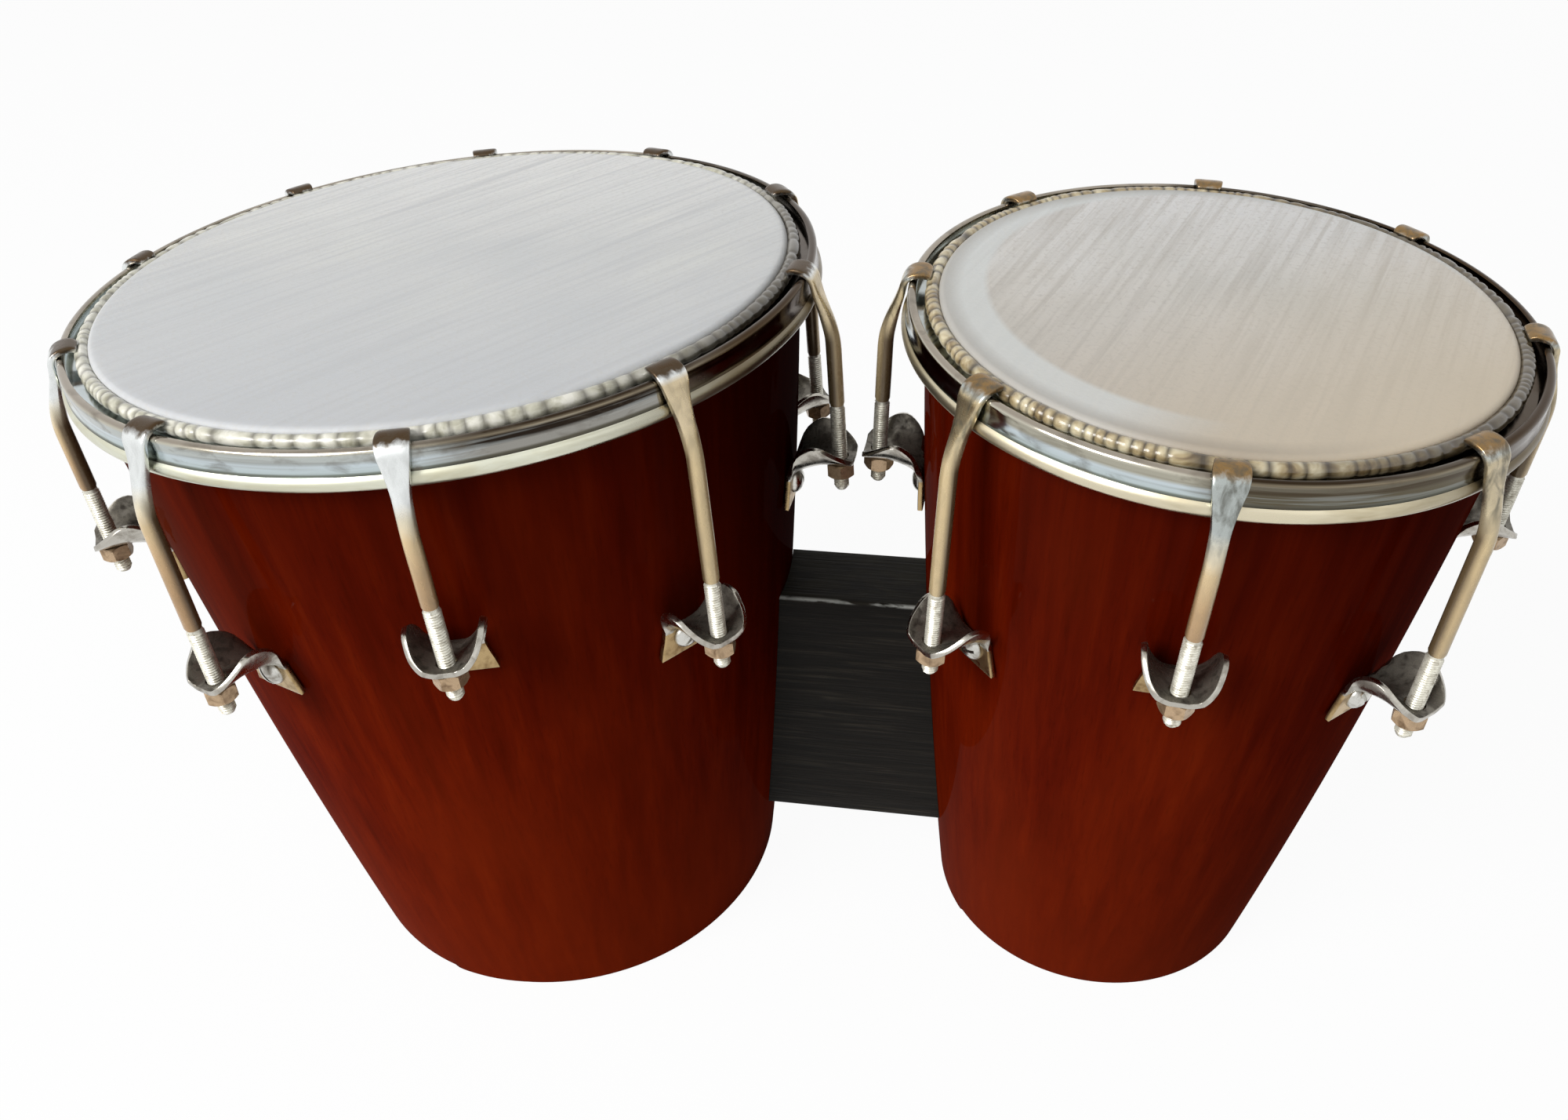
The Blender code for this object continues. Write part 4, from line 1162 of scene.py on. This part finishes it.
def shell_form(drum):
    """The shell's outer form as a full solid, to hollow the block's ends."""
    outline = [(0.0, -SHOULDER_DEPTH), *drum.wall_outline(DRUM_HEIGHT, 0.1 * MM), (0.0, -DRUM_HEIGHT)]
    form = turned(drum.name + "_form", outline, SHELL_STEPS)
    settle(form, drum.frame)
    return form


def make_block():
    """A wooden block with softened, worn edges, hollowed to both shells."""
    deselect()
    middle = (FRAME_SHIFT, 0.0, (BLOCK_TOP + BLOCK_FOOT) / 2.0)
    size = (AXIS_SPACING * 0.72, BLOCK_DEPTH, BLOCK_TOP - BLOCK_FOOT)
    bpy.ops.mesh.primitive_cube_add(size=1.0, location=middle, scale=size)
    block = bpy.context.object
    block.name = "black_centre_block"
    settle(block)
    open_up(block)
    bpy.ops.mesh.subdivide(number_cuts=9)
    pick_edges(block, lambda edge: edge.calc_face_angle(0.0) > 1.0)
    bpy.ops.mesh.bevel(offset=0.9 * MM, segments=3, affect="EDGES")
    bpy.ops.object.mode_set(mode="OBJECT")
    for drum in DRUMS:
        form = shell_form(drum)
        applied(block, "BOOLEAN", operation="DIFFERENCE", solver="EXACT", object=form)
        discard(form)
    smooth(block, 35.0)
    dress(block, BASE, BLACK_PAINT, "centre_block")


def ends_of(node):
    """Where a node starts and ends along X."""
    low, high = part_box(node)
    return low[0], high[0]


def lay_on_tie(piece, reach, height, node):
    """Lay a piece that was made below 0 along a tie, with its 0 at reach."""
    piece.data.transform(Matrix.Translation((reach, 0.0, height)) @ ALONG_X)
    dress(piece, BASE, ZINC_BOLT, node)


def make_ties():
    """Hexagon bolts, washers and nuts that draw both shells to the block."""
    for label, height in zip(("lower", "upper"), TIE_HEIGHTS):
        for side in ("large", "small"):
            node = f"{label}_{side}_tie_washer"
            low, high = ends_of(node)
            name = f"{label}_{side}_flat_washer"
            washer = make_washer(name, radius=9.0 * MM, bore=3.3 * MM, thickness=high - low)
            lay_on_tie(washer, high, height, node)
        node = f"{label}_tie_nut"
        low, high = ends_of(node)
        nut = make_nut(f"{label}_block_nut", TIE_FLATS, high - low, bore=3.1 * MM)
        lay_on_tie(nut, high, height, node)
        node = f"{label}_tie_bolt"
        low, high = ends_of(node)
        head = make_nut(f"{label}_block_bolt", TIE_FLATS, TIE_HEAD, bore=1.0 * MM)
        root = 0.6 * MM - TIE_HEAD
        tip = high - low - TIE_HEAD
        outline = [(0.0, root), (2.9 * MM, root), (2.9 * MM, tip - 0.8 * MM), (2.3 * MM, tip), (0.0, tip)]
        join(head, turned(f"{label}_shank", outline, 32))
        smooth(head, 30.0)
        lay_on_tie(head, low + TIE_HEAD, height, node)


hook_pattern = make_hook()
nut_pattern = make_nut("nut_pattern", NUT_FLATS, NUT_HEIGHT, NUT_BORE)
lug_bolt_pattern = make_lug_bolt()
for drum in DRUMS:
    dress_drum(drum, hook_pattern, nut_pattern, lug_bolt_pattern)
    hoop_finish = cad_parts[drum.name + "_flesh_hoop"].data.materials
    hoop_finish.clear()
    hoop_finish.append(HOOP_STEEL)
discard(hook_pattern, nut_pattern, lug_bolt_pattern)
make_block()
make_ties()

# Camera, floor and light.

# The camera was fitted to the outlines of the rims and feet.
camera_data = bpy.data.cameras.new("photo_camera")
camera_data.sensor_width = 36.0
camera_data.lens = 29.702
camera = bpy.data.objects.new("photo_camera", camera_data)
scene.collection.objects.link(camera)
camera.matrix_world = Matrix(
    (
        (0.98532875, -0.07059262, 0.15538317, 0.067879),
        (0.16654763, 0.5965495, -0.78510546, -0.33645),
        (-0.0372711, 0.79946568, 0.59955441, 0.39131),
        (0.0, 0.0, 0.0, 1.0),
    )
)
scene.camera = camera


def seen_rays(tree):
    """1 for rays that show the background itself, to the eye, in gloss or through glass."""
    rays = add_node(tree, "LightPath", {}).node.outputs
    eye_or_gloss = {0: rays["Is Camera Ray"], 1: rays["Is Glossy Ray"]}
    seen = add_node(tree, "Math", eye_or_gloss, operation="MAXIMUM")
    return add_node(tree, "Math", {0: seen, 1: rays["Is Transmission Ray"]}, operation="MAXIMUM")


world = bpy.data.worlds.new("pale_studio")
scene.world = world
world.use_nodes = True
sky = world.node_tree
soft_light = sky.nodes["Background"]
fill_in(soft_light, {"Color": tone("#f4f6f8"), "Strength": 0.31})
white = add_node(sky, "Background", {"Color": tone("#ffffff"), "Strength": 1.0})
sky_mix = add_node(sky, "MixShader", {0: seen_rays(sky), 1: soft_light.outputs[0], 2: white})
fill_in(sky.nodes["World Output"], {"Surface": sky_mix})

deselect()
bpy.ops.mesh.primitive_plane_add(size=6.0, location=(0.0, 0.0, -0.2 * MM))
floor = bpy.context.object
floor.name = "studio_floor"
settle(floor)
paper = bpy.data.materials.new("pale_paper_floor")
paper.use_nodes = True
sheet = paper.node_tree
finished(paper, {"Base Color": tone("#f2f2f2"), "Roughness": 0.9, "Specular IOR Level": 0.1})
glow = add_node(sheet, "Emission", {"Color": tone("#ffffff"), "Strength": 1.0})
shown = add_node(sheet, "Math", {0: seen_rays(sheet), 1: 0.95}, operation="MULTIPLY")
matt = sheet.nodes["Principled BSDF"].outputs[0]
floor_mix = add_node(sheet, "MixShader", {0: shown, 1: matt, 2: glow})
fill_in(sheet.nodes["Material Output"], {"Surface": floor_mix})
floor.data.materials.append(paper)


def add_lamp(name, place, target, size, power):
    """A square soft box that faces its target."""
    data = bpy.data.lights.new(name, "AREA")
    data.shape = "SQUARE"
    data.size = size
    data.energy = power
    lamp = bpy.data.objects.new(name, data)
    scene.collection.objects.link(lamp)
    aim = Vector(target) - Vector(place)
    lamp.rotation_euler = aim.to_track_quat("-Z", "Y").to_euler()
    lamp.location = place


add_lamp("key_light", (-1.0, -1.2, 1.35), (0.0, 0.0, 0.12), 1.0, 37.0)
add_lamp("fill_light", (1.2, -1.0, 1.2), (0.0, 0.0, 0.12), 1.0, 0.8)

scene.view_settings.view_transform = "Standard"
